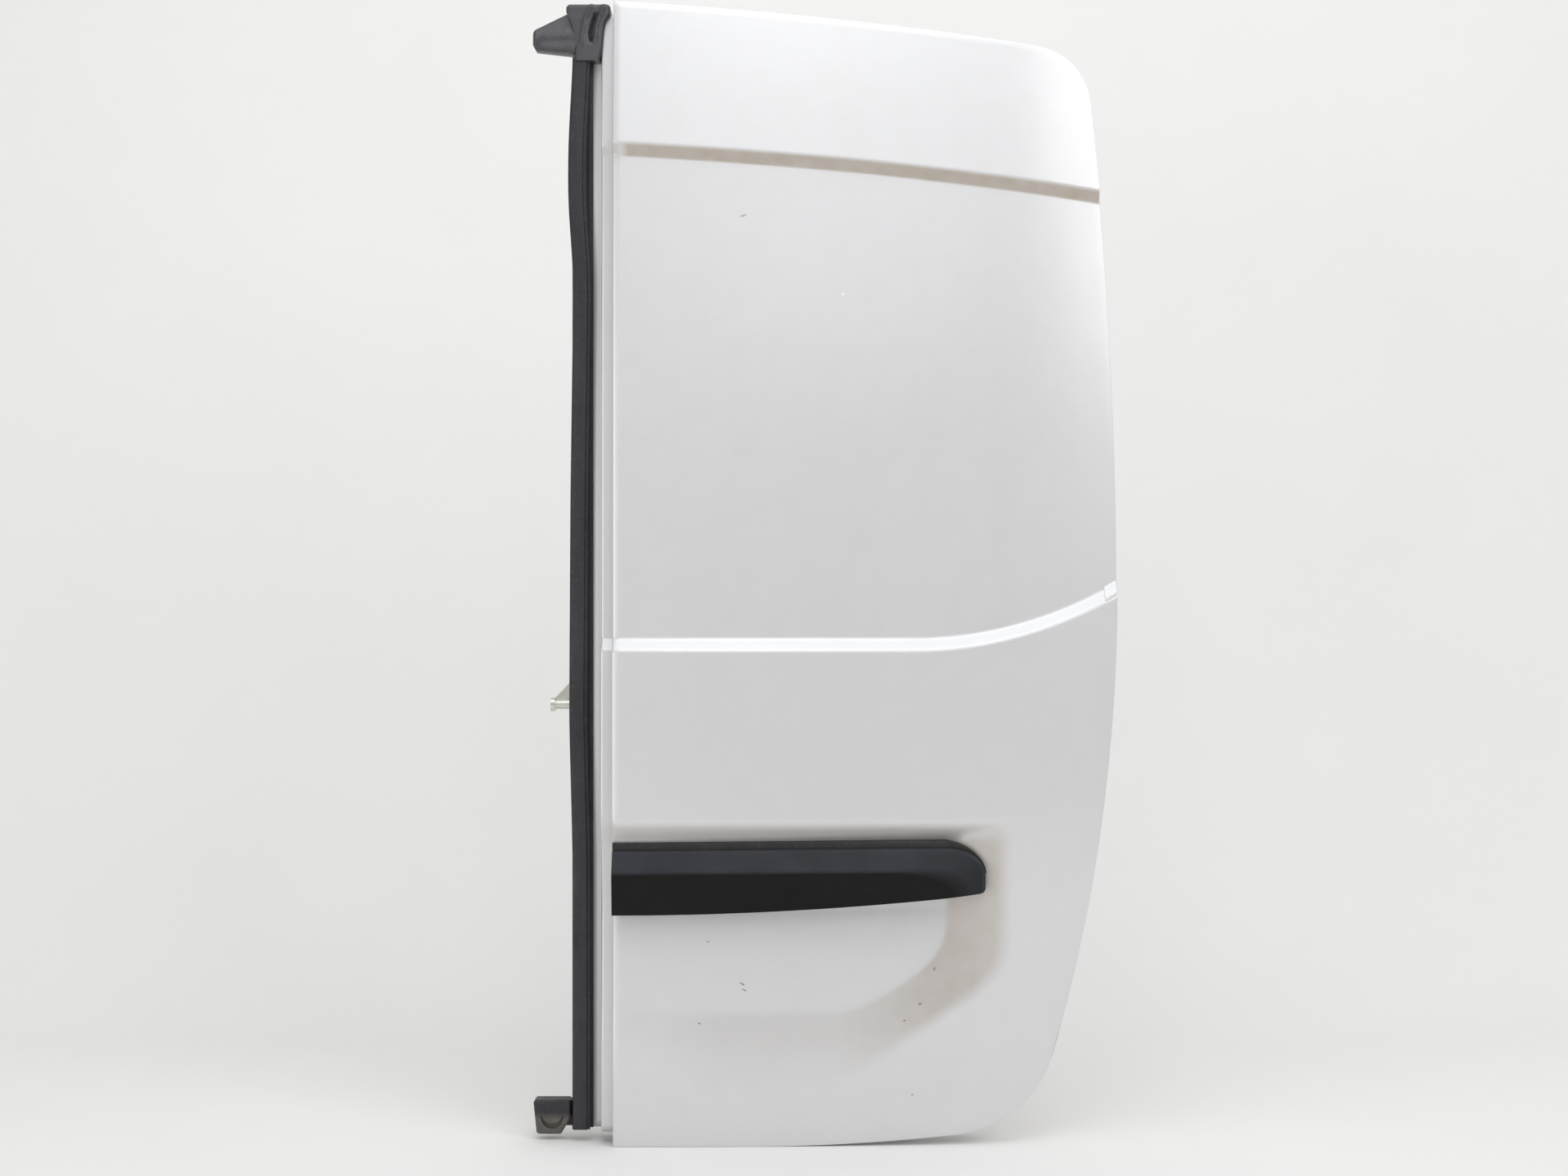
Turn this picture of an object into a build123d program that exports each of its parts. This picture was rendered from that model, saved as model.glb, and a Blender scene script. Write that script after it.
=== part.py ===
"""Right-hand rear barn-door leaf of a panel van, unglazed, with its two concealed hinges.

The leaf is drawn in its own coordinates: x from the skin's closing edge toward the hinges,
y from the outermost plane into the van, z up from the skin's lowest point. The finished pieces
are moved so that the origin lies on the mounting face of the lower hinge.
"""
import os

from build123d import *

# Sheet metal
SKIN_SHEET = 0.9
INNER_SHEET = 0.9
SHEET_GAP = 0.3
HEM_WIDTH = 9.0

# Skin outline seen from outside
LEAF_HEIGHT = 1332.0
LEAF_WIDTH = 588.0
WIDEST_HEIGHT = 648.0
TOP_DROP = 57.0
TOP_CROWN = 6.0
TOP_INSET = 36.0
TOP_CORNER = 75.0
BOTTOM_FLAT = 160.0
BOTTOM_RISE = 22.0
BOTTOM_INSET = 102.0
BOTTOM_CORNER = 130.0
CLOSING_CORNER = 6.0

# Skin form: depth of the surface behind the outermost plane
PLAN_RADIUS = 7500.0
CORNER_START = 440.0
CORNER_RADIUS = 900.0
BOTTOM_TUCK = 18.0
BULGE_HEIGHT = 330.0
SHOULDER_HEIGHT = 584.0
SHOULDER_BAND = 14.0
SHOULDER_DEPTH = 11.0
SHOULDER_SETBACK = 2.0
SHOULDER_RISE = 64.0
SHOULDER_FLAT = 350.0
WAIST_HEIGHT = 880.0
WAIST_LEAN = 3.0
HEADER_HEIGHT = 1161.0
HEADER_BAND = 12.0
HEADER_DEPTH = 9.0
HEADER_LEAN = 7.0
HEADER_SLOPE = 0.062
HEADER_CURVE = 0.00006
BROW_HEIGHT = 1240.0
BROW_LEAN = 7.0
TOP_LEAN = 16.0
CREASE_RADII = (2600.0, 9.0, 6.0, 6000.0, 4.0, 6.0, 1500.0)
FORM_MARGIN = 70.0
FORM_BACK = 190.0
FORM_STATIONS = 7

# Number-plate recess, open at the closing edge
RECESS_TOP = 380.0
RECESS_RIGHT = 519.0
RECESS_BOTTOM = 60.0
RECESS_TOP_WALL = 24.0
RECESS_RIGHT_WALL = 133.0
RECESS_BOTTOM_WALL = 95.0
RECESS_DEPTH_TOP = 27.0
RECESS_DEPTH_BOTTOM = 12.0
RECESS_DEPTH_GAIN = 13.0
RECESS_LIP = 5.0
RECESS_TOP_RADIUS = 45.0
RECESS_SWEEP_RADIUS = 150.0
RECESS_FLOOR_RADIUS = 60.0
RECESS_CREST_RADIUS = 40.0
RECESS_CUT_RUN = 122.0
RECESS_CUT_SLOPE = 0.67
RECESS_OVERCUT = 1.65

# Closing edge: stepped rabbet, pinch flange, seal
RABBET_DEPTH = 18.0
RABBET_REACH = 15.0
RABBET_ROOT = 14.0
PINCH_Y = 58.0
PINCH_REACH = 46.0
CLOSING_WALL = 28.0
CAP_TOP_START = 1272.0
CAP_BOTTOM_END = 47.0
SEAL_WIDTH = 21.0
SEAL_DEPTH = 17.0
SEAL_WALL = 3.0
SEAL_ROUND = 6.0
SEAL_SLACK = 5.0
SEAL_LIP = 4.0
SEAL_CLIP_GAP = 6.0
SEAL_END_GAP = 2.0
CAP_FRONT = 40.0
CAP_REACH = 56.0
CAP_TAB = 96.0
CAP_TAB_FRONT = 48.0
CAP_TAB_BACK = 70.0
CAP_TAB_RISE = 51.0
CAP_TAB_SHOULDER = 33.0
CAP_CORNER = 4.0
CAP_ROUND = 3.5
CAP_LAP = 8.0
CAP_GAP = 0.5
CAP_RIB_RADII = (44.0, 66.0)
CAP_RIB_WIDTH = 3.5
CAP_RIB_HEIGHT = 2.5
CAP_RIB_CENTRE = 10.0
CAP_FOOT = 7.0
CAP_TOE = 12.0
THUMB_RADIUS = 13.0
THUMB_SHIFT = 6.0
THUMB_DEPTH = 4.0

# Inner panel
INNER_FACE = 84.0
EDGE_INSET = 14.0
OPENING_ROUND = 45.0
OPENING_LEFT = 75.0
OPENING_RIGHT = 95.0
UPPER_OPENING = (700.0, 1165.0)
LOWER_OPENING = (130.0, 505.0)
OPENING_LIP = 9.0
BEAD_HEIGHTS = (540.0, 664.0)
BEAD_WIDTH = 18.0
BEAD_RISE = 4.0
BEAD_DRAFT = 45.0
BEAD_INSET = 30.0

# Hinges
HINGE_X = 548.0
HINGE_Y = 68.0
HINGE_HEIGHTS = {"lower": 330.0, "upper": 1000.0}
HINGE_HALF = 42.0
HINGE_PLATE = 5.0
HINGE_SEAT_X = 526.0
POCKET_HALF = 62.0
KNUCKLE_RADIUS = 9.0
KNUCKLE_HALF = 12.0
KNUCKLE_END = 28.0
KNUCKLE_GAP = 0.5
PIN_RADIUS = 5.0
PIN_FIT = 0.05
PIN_HEAD_RADIUS = 7.5
PIN_HEAD = 3.0
PIN_TAIL = 2.0
MOUNT_Y = 112.0
MOUNT_WIDTH = 36.0
MOUNT_BOLT_SPACING = 56.0
MOUNT_BOLT_RADIUS = 4.25
HINGE_CORNER = 7.0
HINGE_ARM_HALF = 7.0
DOOR_PLATE_FRONT = 48.0
DOOR_PLATE_BACK = 82.0

# Number-plate garnish
GARNISH_LENGTH = 431.0
GARNISH_TOP = 345.0
GARNISH_BOTTOM = 271.0
GARNISH_RISE = 25.0
GARNISH_CREASE = 319.0
GARNISH_CREASE_RISE = 7.0
GARNISH_END_FACET = 27.0
GARNISH_TOP_Y = 4.0
GARNISH_NOSE_Y = -10.0
GARNISH_FOOT_Y = -4.0
GARNISH_WALL = 2.5
GARNISH_END_RADIUS = 34.0
GARNISH_NOSE_RADIUS = 18.0
GARNISH_TOE_RADIUS = 12.0
GARNISH_ROUND = 1.5
GASKET_HEIGHT = 9.0

# Striker on the closing wall
STRIKER_HEIGHT = 510.0
STRIKER_Y = 71.0
STRIKER_RADIUS = 5.5
STRIKER_REACH = 77.0
STRIKER_HEAD_RADIUS = 8.0
STRIKER_HEAD = 5.0
STRIKER_PLATE = 3.0
STRIKER_PLATE_HALF = 38.0
STRIKER_GUSSET = 4.0
STRIKER_GUSSET_TOP = 12.0
STRIKER_PLATE_EDGE = 5.0

# Small pieces on the inner face
LATCH_X = 66.0
LATCH_INSET = 62.0
LATCH_PLATE = 3.0
LATCH_PLATE_SIZE = 66.0
LATCH_CASE = 46.0
LATCH_CASE_DEPTH = 22.0
LATCH_SLOT = 14.0
LATCH_PLATE_CORNER = 8.0
LATCH_CASE_CORNER = 5.0
RELEASE_X = 20.0
RELEASE_HEIGHT = 602.0
RELEASE_WIDTH = 44.0
RELEASE_LENGTH = 116.0
RELEASE_FRAME = 7.0
RELEASE_DEPTH = 8.0
RELEASE_CORNER = 10.0
RELEASE_GAP = 1.0
RELEASE_PULL_RISE = 3.0
BUFFER_RADIUS = 13.0
BUFFER_HEIGHT = 14.0
BUFFER_TAPER = 12.0
BUFFER_X = 440.0
BUFFER_INSET = 60.0
PLUG_RADIUS = 13.0
PLUG_FLANGE = 2.5
PLUG_TAPER = 30.0
PLUG_HEIGHT = 602.0
PLUG_PLACES = {"left": 150.0, "middle": 270.0, "right": 390.0}
BRACE_X = 285.0
BRACE_WIDTH = 42.0
BRACE_FOOT = 16.0
BRACE_FRONT = 46.0
BRACE_SHEET = 1.0
BRACE_LAP = 30.0


def plan_depth(x):
    """Depth added by the leaf's plan curve, tighter round the van's corner."""
    gentle = x * x / (2 * PLAN_RADIUS)
    corner = max(x - CORNER_START, 0.0) ** 2 / (2 * CORNER_RADIUS)
    return gentle + corner


def shoulder_line(x):
    """Height of the middle of the shoulder band."""
    run = max(x - SHOULDER_FLAT, 0.0) / (LEAF_WIDTH - SHOULDER_FLAT)
    return SHOULDER_HEIGHT + SHOULDER_RISE * run ** 2


def header_line(x):
    """Height of the middle of the step under the header."""
    return HEADER_HEIGHT - HEADER_SLOPE * x - HEADER_CURVE * x * abs(x)


def form_section(x):
    """Closed upright section of the leaf's form at station x."""
    base = plan_depth(x)
    shoulder = shoulder_line(x)
    header = header_line(x)
    foot = base + SHOULDER_SETBACK + SHOULDER_DEPTH
    under_header = foot + WAIST_LEAN + HEADER_LEAN
    brow = under_header - HEADER_DEPTH
    top = LEAF_HEIGHT + FORM_MARGIN
    front = FilletPolyline(
        (base + BOTTOM_TUCK, -FORM_MARGIN),
        (base, BULGE_HEIGHT),
        (base + SHOULDER_SETBACK, shoulder - SHOULDER_BAND / 2),
        (foot, shoulder + SHOULDER_BAND / 2),
        (foot + WAIST_LEAN, WAIST_HEIGHT),
        (under_header, header - HEADER_BAND / 2),
        (brow, header + HEADER_BAND / 2),
        (brow + BROW_LEAN, BROW_HEIGHT),
        (brow + BROW_LEAN + TOP_LEAN, top),
        radius=CREASE_RADII,
    )
    back = Polyline(front @ 1, (FORM_BACK, top), (FORM_BACK, -FORM_MARGIN), front @ 0)
    plane = Plane(origin=(x, 0, 0), x_dir=(0, 1, 0), z_dir=(1, 0, 0))
    return plane * make_face([front, back])


def recess_outline(spread):
    """Recess outline: spread 0 is the floor, 1 the level of the lip, more reaches out of the skin."""
    left = -FORM_MARGIN
    top = RECESS_TOP - RECESS_TOP_WALL * (1 - spread)
    right = RECESS_RIGHT - RECESS_RIGHT_WALL * (1 - spread)
    bottom = RECESS_BOTTOM + RECESS_BOTTOM_WALL * (1 - spread)
    cut_run = RECESS_CUT_RUN - (RECESS_RIGHT_WALL - RECESS_BOTTOM_WALL) * (1 - spread)
    cut_rise = cut_run * RECESS_CUT_SLOPE
    corners = [
        (left, top),
        (right, top),
        (right, bottom + cut_rise),
        (right - cut_run, bottom),
        (left, bottom),
    ]
    return make_face(Polyline(*corners, close=True))


def recess_pocket():
    """Tilted pocket with sloping walls and rounded corners that sinks the plate recess."""
    lean = (RECESS_DEPTH_TOP - RECESS_DEPTH_BOTTOM) / (RECESS_TOP - RECESS_BOTTOM)
    gain = RECESS_DEPTH_GAIN / RECESS_RIGHT
    floor = Plane(
        origin=(0, RECESS_DEPTH_BOTTOM - lean * RECESS_BOTTOM, 0),
        x_dir=(1, gain, 0),
        z_dir=Vector(gain, -1, lean),
    )
    rise = RECESS_OVERCUT * (RECESS_DEPTH_TOP - RECESS_LIP)
    mouth = floor.offset(rise) * recess_outline(RECESS_OVERCUT)
    pocket = loft([floor * recess_outline(0.0), mouth], ruled=True)

    def wall_corners():
        """Slanted edges between two walls, from the lowest to the highest."""
        slanted = []
        for edge in pocket.edges():
            if abs(edge.tangent_at(0.5).Y) > lean and edge.center().X > 0:
                slanted.append(edge)
        return sorted(slanted, key=lambda edge: edge.center().Z)

    pocket = fillet(wall_corners()[:2], RECESS_SWEEP_RADIUS)
    pocket = fillet(wall_corners()[-1], RECESS_TOP_RADIUS)
    base = pocket.faces().sort_by(Axis.Y)[-1]
    return fillet([edge for edge in base.edges() if edge.center().X > 0], RECESS_FLOOR_RADIUS)


def leaf_form():
    """Everything behind the leaf's outer surface, plate recess included."""
    first = -FORM_MARGIN
    last = LEAF_WIDTH + FORM_MARGIN
    step = (last - first) / (FORM_STATIONS - 1)
    plain = loft([form_section(first + step * number) for number in range(FORM_STATIONS)])
    pocket = recess_pocket()
    sunk = plain - pocket
    crest = [edge for edge in new_edges(plain, pocket, combined=sunk) if edge.center().X > 0]
    return fillet(crest, RECESS_CREST_RADIUS)


def drawn_in(face, amount):
    """Outline of lines and arcs moved inward by amount, redrawn from plain lines and arcs."""
    redrawn = []
    for edge in offset(face, -amount).edges():
        if edge.geom_type == GeomType.LINE:
            redrawn.append(Line(edge @ 0, edge @ 1))
        else:
            redrawn.append(ThreePointArc(edge @ 0, edge @ 0.5, edge @ 1))
    return make_face(redrawn)


def leaf_outline():
    """Front outline of the skin, drawn with z as the second coordinate."""
    top_right = (LEAF_WIDTH - TOP_INSET, LEAF_HEIGHT - TOP_DROP)
    top_middle = (top_right[0] / 2, LEAF_HEIGHT - TOP_DROP / 2 + TOP_CROWN)
    low_right = (LEAF_WIDTH - BOTTOM_INSET, BOTTOM_RISE)
    widest = (LEAF_WIDTH, WIDEST_HEIGHT)
    edges = [
        Line((0, LEAF_HEIGHT), (0, 0)),
        Line((0, 0), (BOTTOM_FLAT, 0)),
        TangentArc((BOTTOM_FLAT, 0), low_right, tangent=(1, 0)),
        TangentArc(widest, low_right, tangent=(0, -1)),
        TangentArc(widest, top_right, tangent=(0, 1)),
        ThreePointArc(top_right, top_middle, (0, LEAF_HEIGHT)),
    ]
    face = make_face(edges)

    def corner(place):
        return face.vertices().sort_by_distance((place[0], place[1], 0))[0]

    face = fillet(corner(low_right), BOTTOM_CORNER)
    face = fillet(corner(top_right), TOP_CORNER)
    face = fillet(corner((0, 0)), CLOSING_CORNER)
    return fillet(corner((0, LEAF_HEIGHT)), CLOSING_CORNER)


def prism(outline, front, back):
    """Front outline carried through the depth from front to back."""
    return extrude(Plane.XZ.offset(-front) * outline, amount=front - back)


def block(x_range, y_range, z_range):
    """Plain box between two places on each axis."""
    low = [min(span) for span in (x_range, y_range, z_range)]
    size = [abs(span[1] - span[0]) for span in (x_range, y_range, z_range)]
    return Pos(*low) * Box(*size, align=(Align.MIN, Align.MIN, Align.MIN))


def rectangle(x_range, z_range, corner=0.0):
    """Front outline of a rectangle, with its corners rounded."""
    width = x_range[1] - x_range[0]
    height = z_range[1] - z_range[0]
    place = Pos((x_range[0] + x_range[1]) / 2, (z_range[0] + z_range[1]) / 2)
    if corner:
        return place * RectangleRounded(width, height, corner)
    return place * Rectangle(width, height)


def rod(start, end, radius):
    """Round bar between two points."""
    axis = Vector(*end) - Vector(*start)
    return extrude(Plane(origin=start, z_dir=axis) * Circle(radius), amount=axis.length)


FORM = leaf_form()
OUTLINE = leaf_outline()
SLOT_FRONT = SKIN_SHEET + SHEET_GAP
SLOT_BACK = SLOT_FRONT + INNER_SHEET
HEM_FRONT = SLOT_BACK + SHEET_GAP
HEM_BACK = HEM_FRONT + SKIN_SHEET
CLOSING_SPAN = (EDGE_INSET, CAP_TOP_START)
SEAL_LEFT = -PINCH_REACH - SEAL_SLACK
JAW_BACK = PINCH_Y + 2 * (INNER_SHEET + SHEET_GAP)


def form(depth):
    """The leaf's form moved into the van by depth."""
    return Pos(0, depth, 0) * FORM


def sheet(front, back, outline):
    """Sheet that follows the outer surface between two depths, within a front outline."""
    return (prism(outline, -FORM_MARGIN, FORM_BACK) & form(front)) - form(back)


def outer_skin():
    """Pressed skin with its edge folded round the inner sheets."""
    folded = sheet(0, HEM_BACK, OUTLINE)
    slot = sheet(SKIN_SHEET, HEM_FRONT, drawn_in(OUTLINE, SKIN_SHEET))
    within_hem = prism(drawn_in(OUTLINE, HEM_WIDTH), -FORM_MARGIN, FORM_BACK)
    return folded - slot - (within_hem & form((SKIN_SHEET + HEM_FRONT) / 2))


def inner_outline():
    """Front outline of the inner panel's raised pan, with a pocket at each hinge."""
    pan = drawn_in(OUTLINE, EDGE_INSET)
    pan += rectangle((-CLOSING_WALL, RABBET_ROOT + EDGE_INSET), CLOSING_SPAN)
    for height in HINGE_HEIGHTS.values():
        pan -= rectangle((HINGE_SEAT_X, LEAF_WIDTH), (height - POCKET_HALF, height + POCKET_HALF))
    return pan


PAN = inner_outline()
FLANGE_ROOT = RABBET_ROOT + SHEET_GAP


def inner_openings():
    """Front outlines of the two large access openings."""
    right = LEAF_WIDTH - OPENING_RIGHT
    spans = (LOWER_OPENING, UPPER_OPENING)
    return [rectangle((OPENING_LEFT, right), span, OPENING_ROUND) for span in spans]


def inner_panel():
    """Pressed inner panel: hem flange, side walls, pan with lipped openings and beads, pinch flange."""
    pinch_front = PINCH_Y + INNER_SHEET + SHEET_GAP
    trimmed = drawn_in(OUTLINE, SLOT_FRONT) + PAN
    panel = prism(trimmed, -FORM_MARGIN, INNER_FACE) & form(SLOT_FRONT)
    around = rectangle((-FORM_MARGIN, LEAF_WIDTH + FORM_MARGIN), (-FORM_MARGIN, LEAF_HEIGHT + FORM_MARGIN))
    panel -= prism(around - PAN, -FORM_MARGIN, FORM_BACK) & form(SLOT_BACK)
    panel -= prism(drawn_in(PAN, INNER_SHEET), -FORM_MARGIN, INNER_FACE - INNER_SHEET)
    rabbet = (-FORM_MARGIN, FLANGE_ROOT)
    panel -= block(rabbet, (-FORM_MARGIN, pinch_front), (-FORM_MARGIN, LEAF_HEIGHT + FORM_MARGIN))
    for opening in inner_openings():
        panel += prism(opening, INNER_FACE - OPENING_LIP, INNER_FACE)
        panel -= prism(drawn_in(opening, INNER_SHEET), 0, FORM_BACK)
    panel -= brace_notch()
    for height in BEAD_HEIGHTS:
        bead = waist_bead(height)
        panel += bead
        panel -= Pos(0, -INNER_SHEET, 0) * bead
    pinch = block(
        (-PINCH_REACH, -CLOSING_WALL + INNER_SHEET),
        (pinch_front, pinch_front + INNER_SHEET),
        CLOSING_SPAN,
    )
    return panel + pinch


def brace_notch():
    """Room left in the lips of the upper opening where the brace passes."""
    half = BRACE_WIDTH / 2 + BRACE_FOOT + SHEET_GAP
    return block(
        (BRACE_X - half, BRACE_X + half),
        (INNER_FACE - OPENING_LIP - SHEET_GAP, INNER_FACE - INNER_SHEET),
        (UPPER_OPENING[0] - SHEET_GAP, UPPER_OPENING[1] + SHEET_GAP),
    )


def waist_bead(height):
    """Stiffening bead raised from the pan face between the two openings."""
    left = OPENING_LEFT + BEAD_INSET
    right = LEAF_WIDTH - OPENING_RIGHT - BEAD_INSET
    base = Plane(origin=((left + right) / 2, INNER_FACE, height), x_dir=(1, 0, 0), z_dir=(0, 1, 0))
    return extrude(base * SlotOverall(right - left, BEAD_WIDTH), amount=BEAD_RISE, taper=BEAD_DRAFT)


def closing_channel():
    """Rabbet sheet from the hem at the closing edge to the pinch flange."""
    land_front = RABBET_DEPTH - INNER_SHEET
    root = sheet(SLOT_FRONT, SLOT_BACK, rectangle((SLOT_FRONT, RABBET_ROOT), CLOSING_SPAN))
    wall_out_x = (RABBET_ROOT - INNER_SHEET, RABBET_ROOT)
    wall_out = sheet(SLOT_FRONT, RABBET_DEPTH, rectangle(wall_out_x, CLOSING_SPAN))
    land = sheet(land_front, RABBET_DEPTH, rectangle((-RABBET_REACH, RABBET_ROOT), CLOSING_SPAN))
    wall_in_x = (-RABBET_REACH, -RABBET_REACH + INNER_SHEET)
    wall_in = prism(rectangle(wall_in_x, CLOSING_SPAN), 0, PINCH_Y + INNER_SHEET) & form(land_front)
    pinch = block((-PINCH_REACH, wall_in_x[1]), (PINCH_Y, PINCH_Y + INNER_SHEET), CLOSING_SPAN)
    return root + wall_out + land + wall_in + pinch


def meeting_seal():
    """Hollow bulb seal with a foot lip, clipped over the pinch flange."""
    right = SEAL_LEFT + SEAL_WIDTH
    foot = PINCH_Y - SHEET_GAP
    bulb = rectangle((SEAL_LEFT, right), (foot - SEAL_DEPTH, foot), SEAL_ROUND)
    bore_x = (SEAL_LEFT + SEAL_WALL, right - SEAL_WALL)
    bore_y = (foot - SEAL_DEPTH + SEAL_WALL, foot - SEAL_WALL)
    bore = rectangle(bore_x, bore_y, SEAL_ROUND - SEAL_WALL)
    lip = rectangle((right - SEAL_ROUND, right + SEAL_LIP), (foot - SEAL_WALL, foot))
    clip = rectangle((SEAL_LEFT, -CLOSING_WALL - SEAL_CLIP_GAP), (foot - SEAL_WALL, JAW_BACK + SEAL_WALL))
    jaw = rectangle((-PINCH_REACH - SHEET_GAP, 0.0), (foot, JAW_BACK))
    profile = bulb + lip + clip - bore - jaw
    low, high = CLOSING_SPAN
    return extrude(Pos(0, 0, low) * profile, amount=high - SEAL_END_GAP - low)


def moulding(corners, front, back):
    """Moulded block from its front corners, with rounded corners and a rounded front edge."""
    face = make_face(Polyline(*corners, close=True))
    solid = prism(fillet(face.vertices(), CAP_CORNER), front, back)
    rim = [edge for edge in solid.edges() if abs(edge.center().Y - front) < CAP_ROUND / 2]
    return fillet(rim, CAP_ROUND)


def seal_top_cap():
    """Moulded corner with two curved ribs that closes the top of the rabbet."""
    low = CAP_TOP_START + CAP_GAP
    body_corners = [
        (-CAP_GAP, low),
        (-CAP_REACH, low),
        (-CAP_REACH, LEAF_HEIGHT - CAP_GAP),
        (-CAP_GAP, LEAF_HEIGHT),
    ]
    tab_corners = [
        (-CAP_REACH + CAP_LAP, low),
        (-CAP_TAB + CAP_LAP, low),
        (-CAP_TAB, low + CAP_LAP),
        (-CAP_TAB, low + CAP_TAB_SHOULDER),
        (-CAP_REACH + CAP_LAP, low + CAP_TAB_RISE),
    ]
    cap = moulding(body_corners, CAP_FRONT, INNER_FACE) + moulding(tab_corners, CAP_TAB_FRONT, CAP_TAB_BACK)
    inset = CAP_CORNER + CAP_ROUND
    ribbed = rectangle((-CAP_REACH + inset, -CAP_GAP - inset), (low + inset, LEAF_HEIGHT - inset))
    for radius in CAP_RIB_RADII:
        ring = Circle(radius + CAP_RIB_WIDTH / 2) - Circle(radius - CAP_RIB_WIDTH / 2)
        rib = (Pos(CAP_RIB_CENTRE, low) * ring) & ribbed
        cap += prism(rib, CAP_FRONT - CAP_RIB_HEIGHT, CAP_FRONT + CAP_RIB_HEIGHT)
    return cap


def seal_bottom_cap():
    """Moulded wing beside the foot of the seal, with a thumb recess and a shoe behind the seal's clip."""
    right = SEAL_LEFT - SHEET_GAP
    middle = (CAP_FOOT + CAP_BOTTOM_END) / 2
    corners = [
        (right, CAP_BOTTOM_END),
        (-CAP_TAB, CAP_BOTTOM_END),
        (-CAP_TAB + CAP_CORNER, CAP_FOOT),
        (right - CAP_TOE, CAP_FOOT),
        (right, middle),
    ]
    shoe = block(
        (right - CAP_LAP, -CLOSING_WALL - SHEET_GAP),
        (JAW_BACK + SEAL_WALL + SHEET_GAP, CAP_TAB_BACK),
        (EDGE_INSET, CAP_BOTTOM_END - CAP_CORNER),
    )
    cap = moulding(corners, CAP_TAB_FRONT, CAP_TAB_BACK) + shoe
    disc = Circle(THUMB_RADIUS)
    thumb_x = (right - CAP_TAB) / 2
    crescent = Pos(thumb_x, middle) * disc - Pos(thumb_x, middle + THUMB_SHIFT) * disc
    return cap - prism(crescent, CAP_FRONT, CAP_TAB_FRONT + THUMB_DEPTH)


def garnish_outline(shrink, set_back, top, end_top, end_radius):
    """Front outline of the garnish at one depth, drawn in by shrink and with its end set back."""
    left = shrink
    end = GARNISH_LENGTH - set_back - shrink
    bottom = GARNISH_BOTTOM + shrink
    toe = (end, bottom + GARNISH_RISE * (end / GARNISH_LENGTH) ** 2)
    edges = [
        Line((left, top - shrink), (left, bottom)),
        TangentArc((left, bottom), toe, tangent=(1, 0)),
        Line(toe, (end, end_top - shrink)),
        Line((end, end_top - shrink), (left, top - shrink)),
    ]
    face = make_face(edges)
    face = fillet(face.vertices().sort_by_distance((end, end_top - shrink, 0))[0], end_radius - shrink)
    return fillet(face.vertices().sort_by_distance((*toe, 0))[0], GARNISH_TOE_RADIUS - shrink)


def garnish_solid(shrink):
    """Creased garnish block, drawn in by shrink on every outer face."""
    base = garnish_outline(shrink, 0.0, GARNISH_TOP, GARNISH_TOP, GARNISH_END_RADIUS)
    crease_end = GARNISH_CREASE + GARNISH_CREASE_RISE
    nose = garnish_outline(shrink, GARNISH_END_FACET, GARNISH_CREASE, crease_end, GARNISH_NOSE_RADIUS)
    depths = (FORM_MARGIN, GARNISH_TOP_Y + shrink, GARNISH_NOSE_Y + shrink)
    sections = [Plane.XZ.offset(-depth) * face for depth, face in zip(depths, (base, base, nose))]
    lean = (GARNISH_FOOT_Y - GARNISH_NOSE_Y) / (GARNISH_CREASE - GARNISH_BOTTOM)
    below = GARNISH_BOTTOM - FORM_MARGIN
    ahead = GARNISH_NOSE_Y - FORM_MARGIN
    in_front = make_face(
        Polyline(
            (GARNISH_NOSE_Y + shrink, GARNISH_CREASE),
            (GARNISH_FOOT_Y + shrink + lean * FORM_MARGIN, below),
            (ahead, below),
            (ahead, GARNISH_CREASE),
            close=True,
        )
    )
    across = Plane(origin=(-FORM_MARGIN, 0, 0), x_dir=(0, 1, 0), z_dir=(1, 0, 0))
    return loft(sections, ruled=True) - extrude(across * in_front, amount=GARNISH_LENGTH + 2 * FORM_MARGIN)


def plate_garnish():
    """Hollow black garnish that lies in the recess, with a creased face."""
    solid = garnish_solid(0.0)
    nose_edges = [edge for edge in solid.edges() if edge.center().Y < 0 and edge.center().X > GARNISH_WALL]
    return fillet(nose_edges, GARNISH_ROUND) - garnish_solid(GARNISH_WALL) - form(-SHEET_GAP)


def garnish_gasket():
    """Foam strip along the top of the garnish."""
    right = GARNISH_LENGTH - GARNISH_END_RADIUS
    low = GARNISH_TOP + SHEET_GAP
    outline = rectangle((0, right), (low, low + GASKET_HEIGHT))
    return prism(outline, GARNISH_TOP_Y + GARNISH_WALL, FORM_MARGIN) - form(-SHEET_GAP)


def striker_rod(start, end, radius):
    """Round bar along the striker's axis between two places across the leaf."""
    return rod((start, STRIKER_Y, STRIKER_HEIGHT), (end, STRIKER_Y, STRIKER_HEIGHT), radius)


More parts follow.
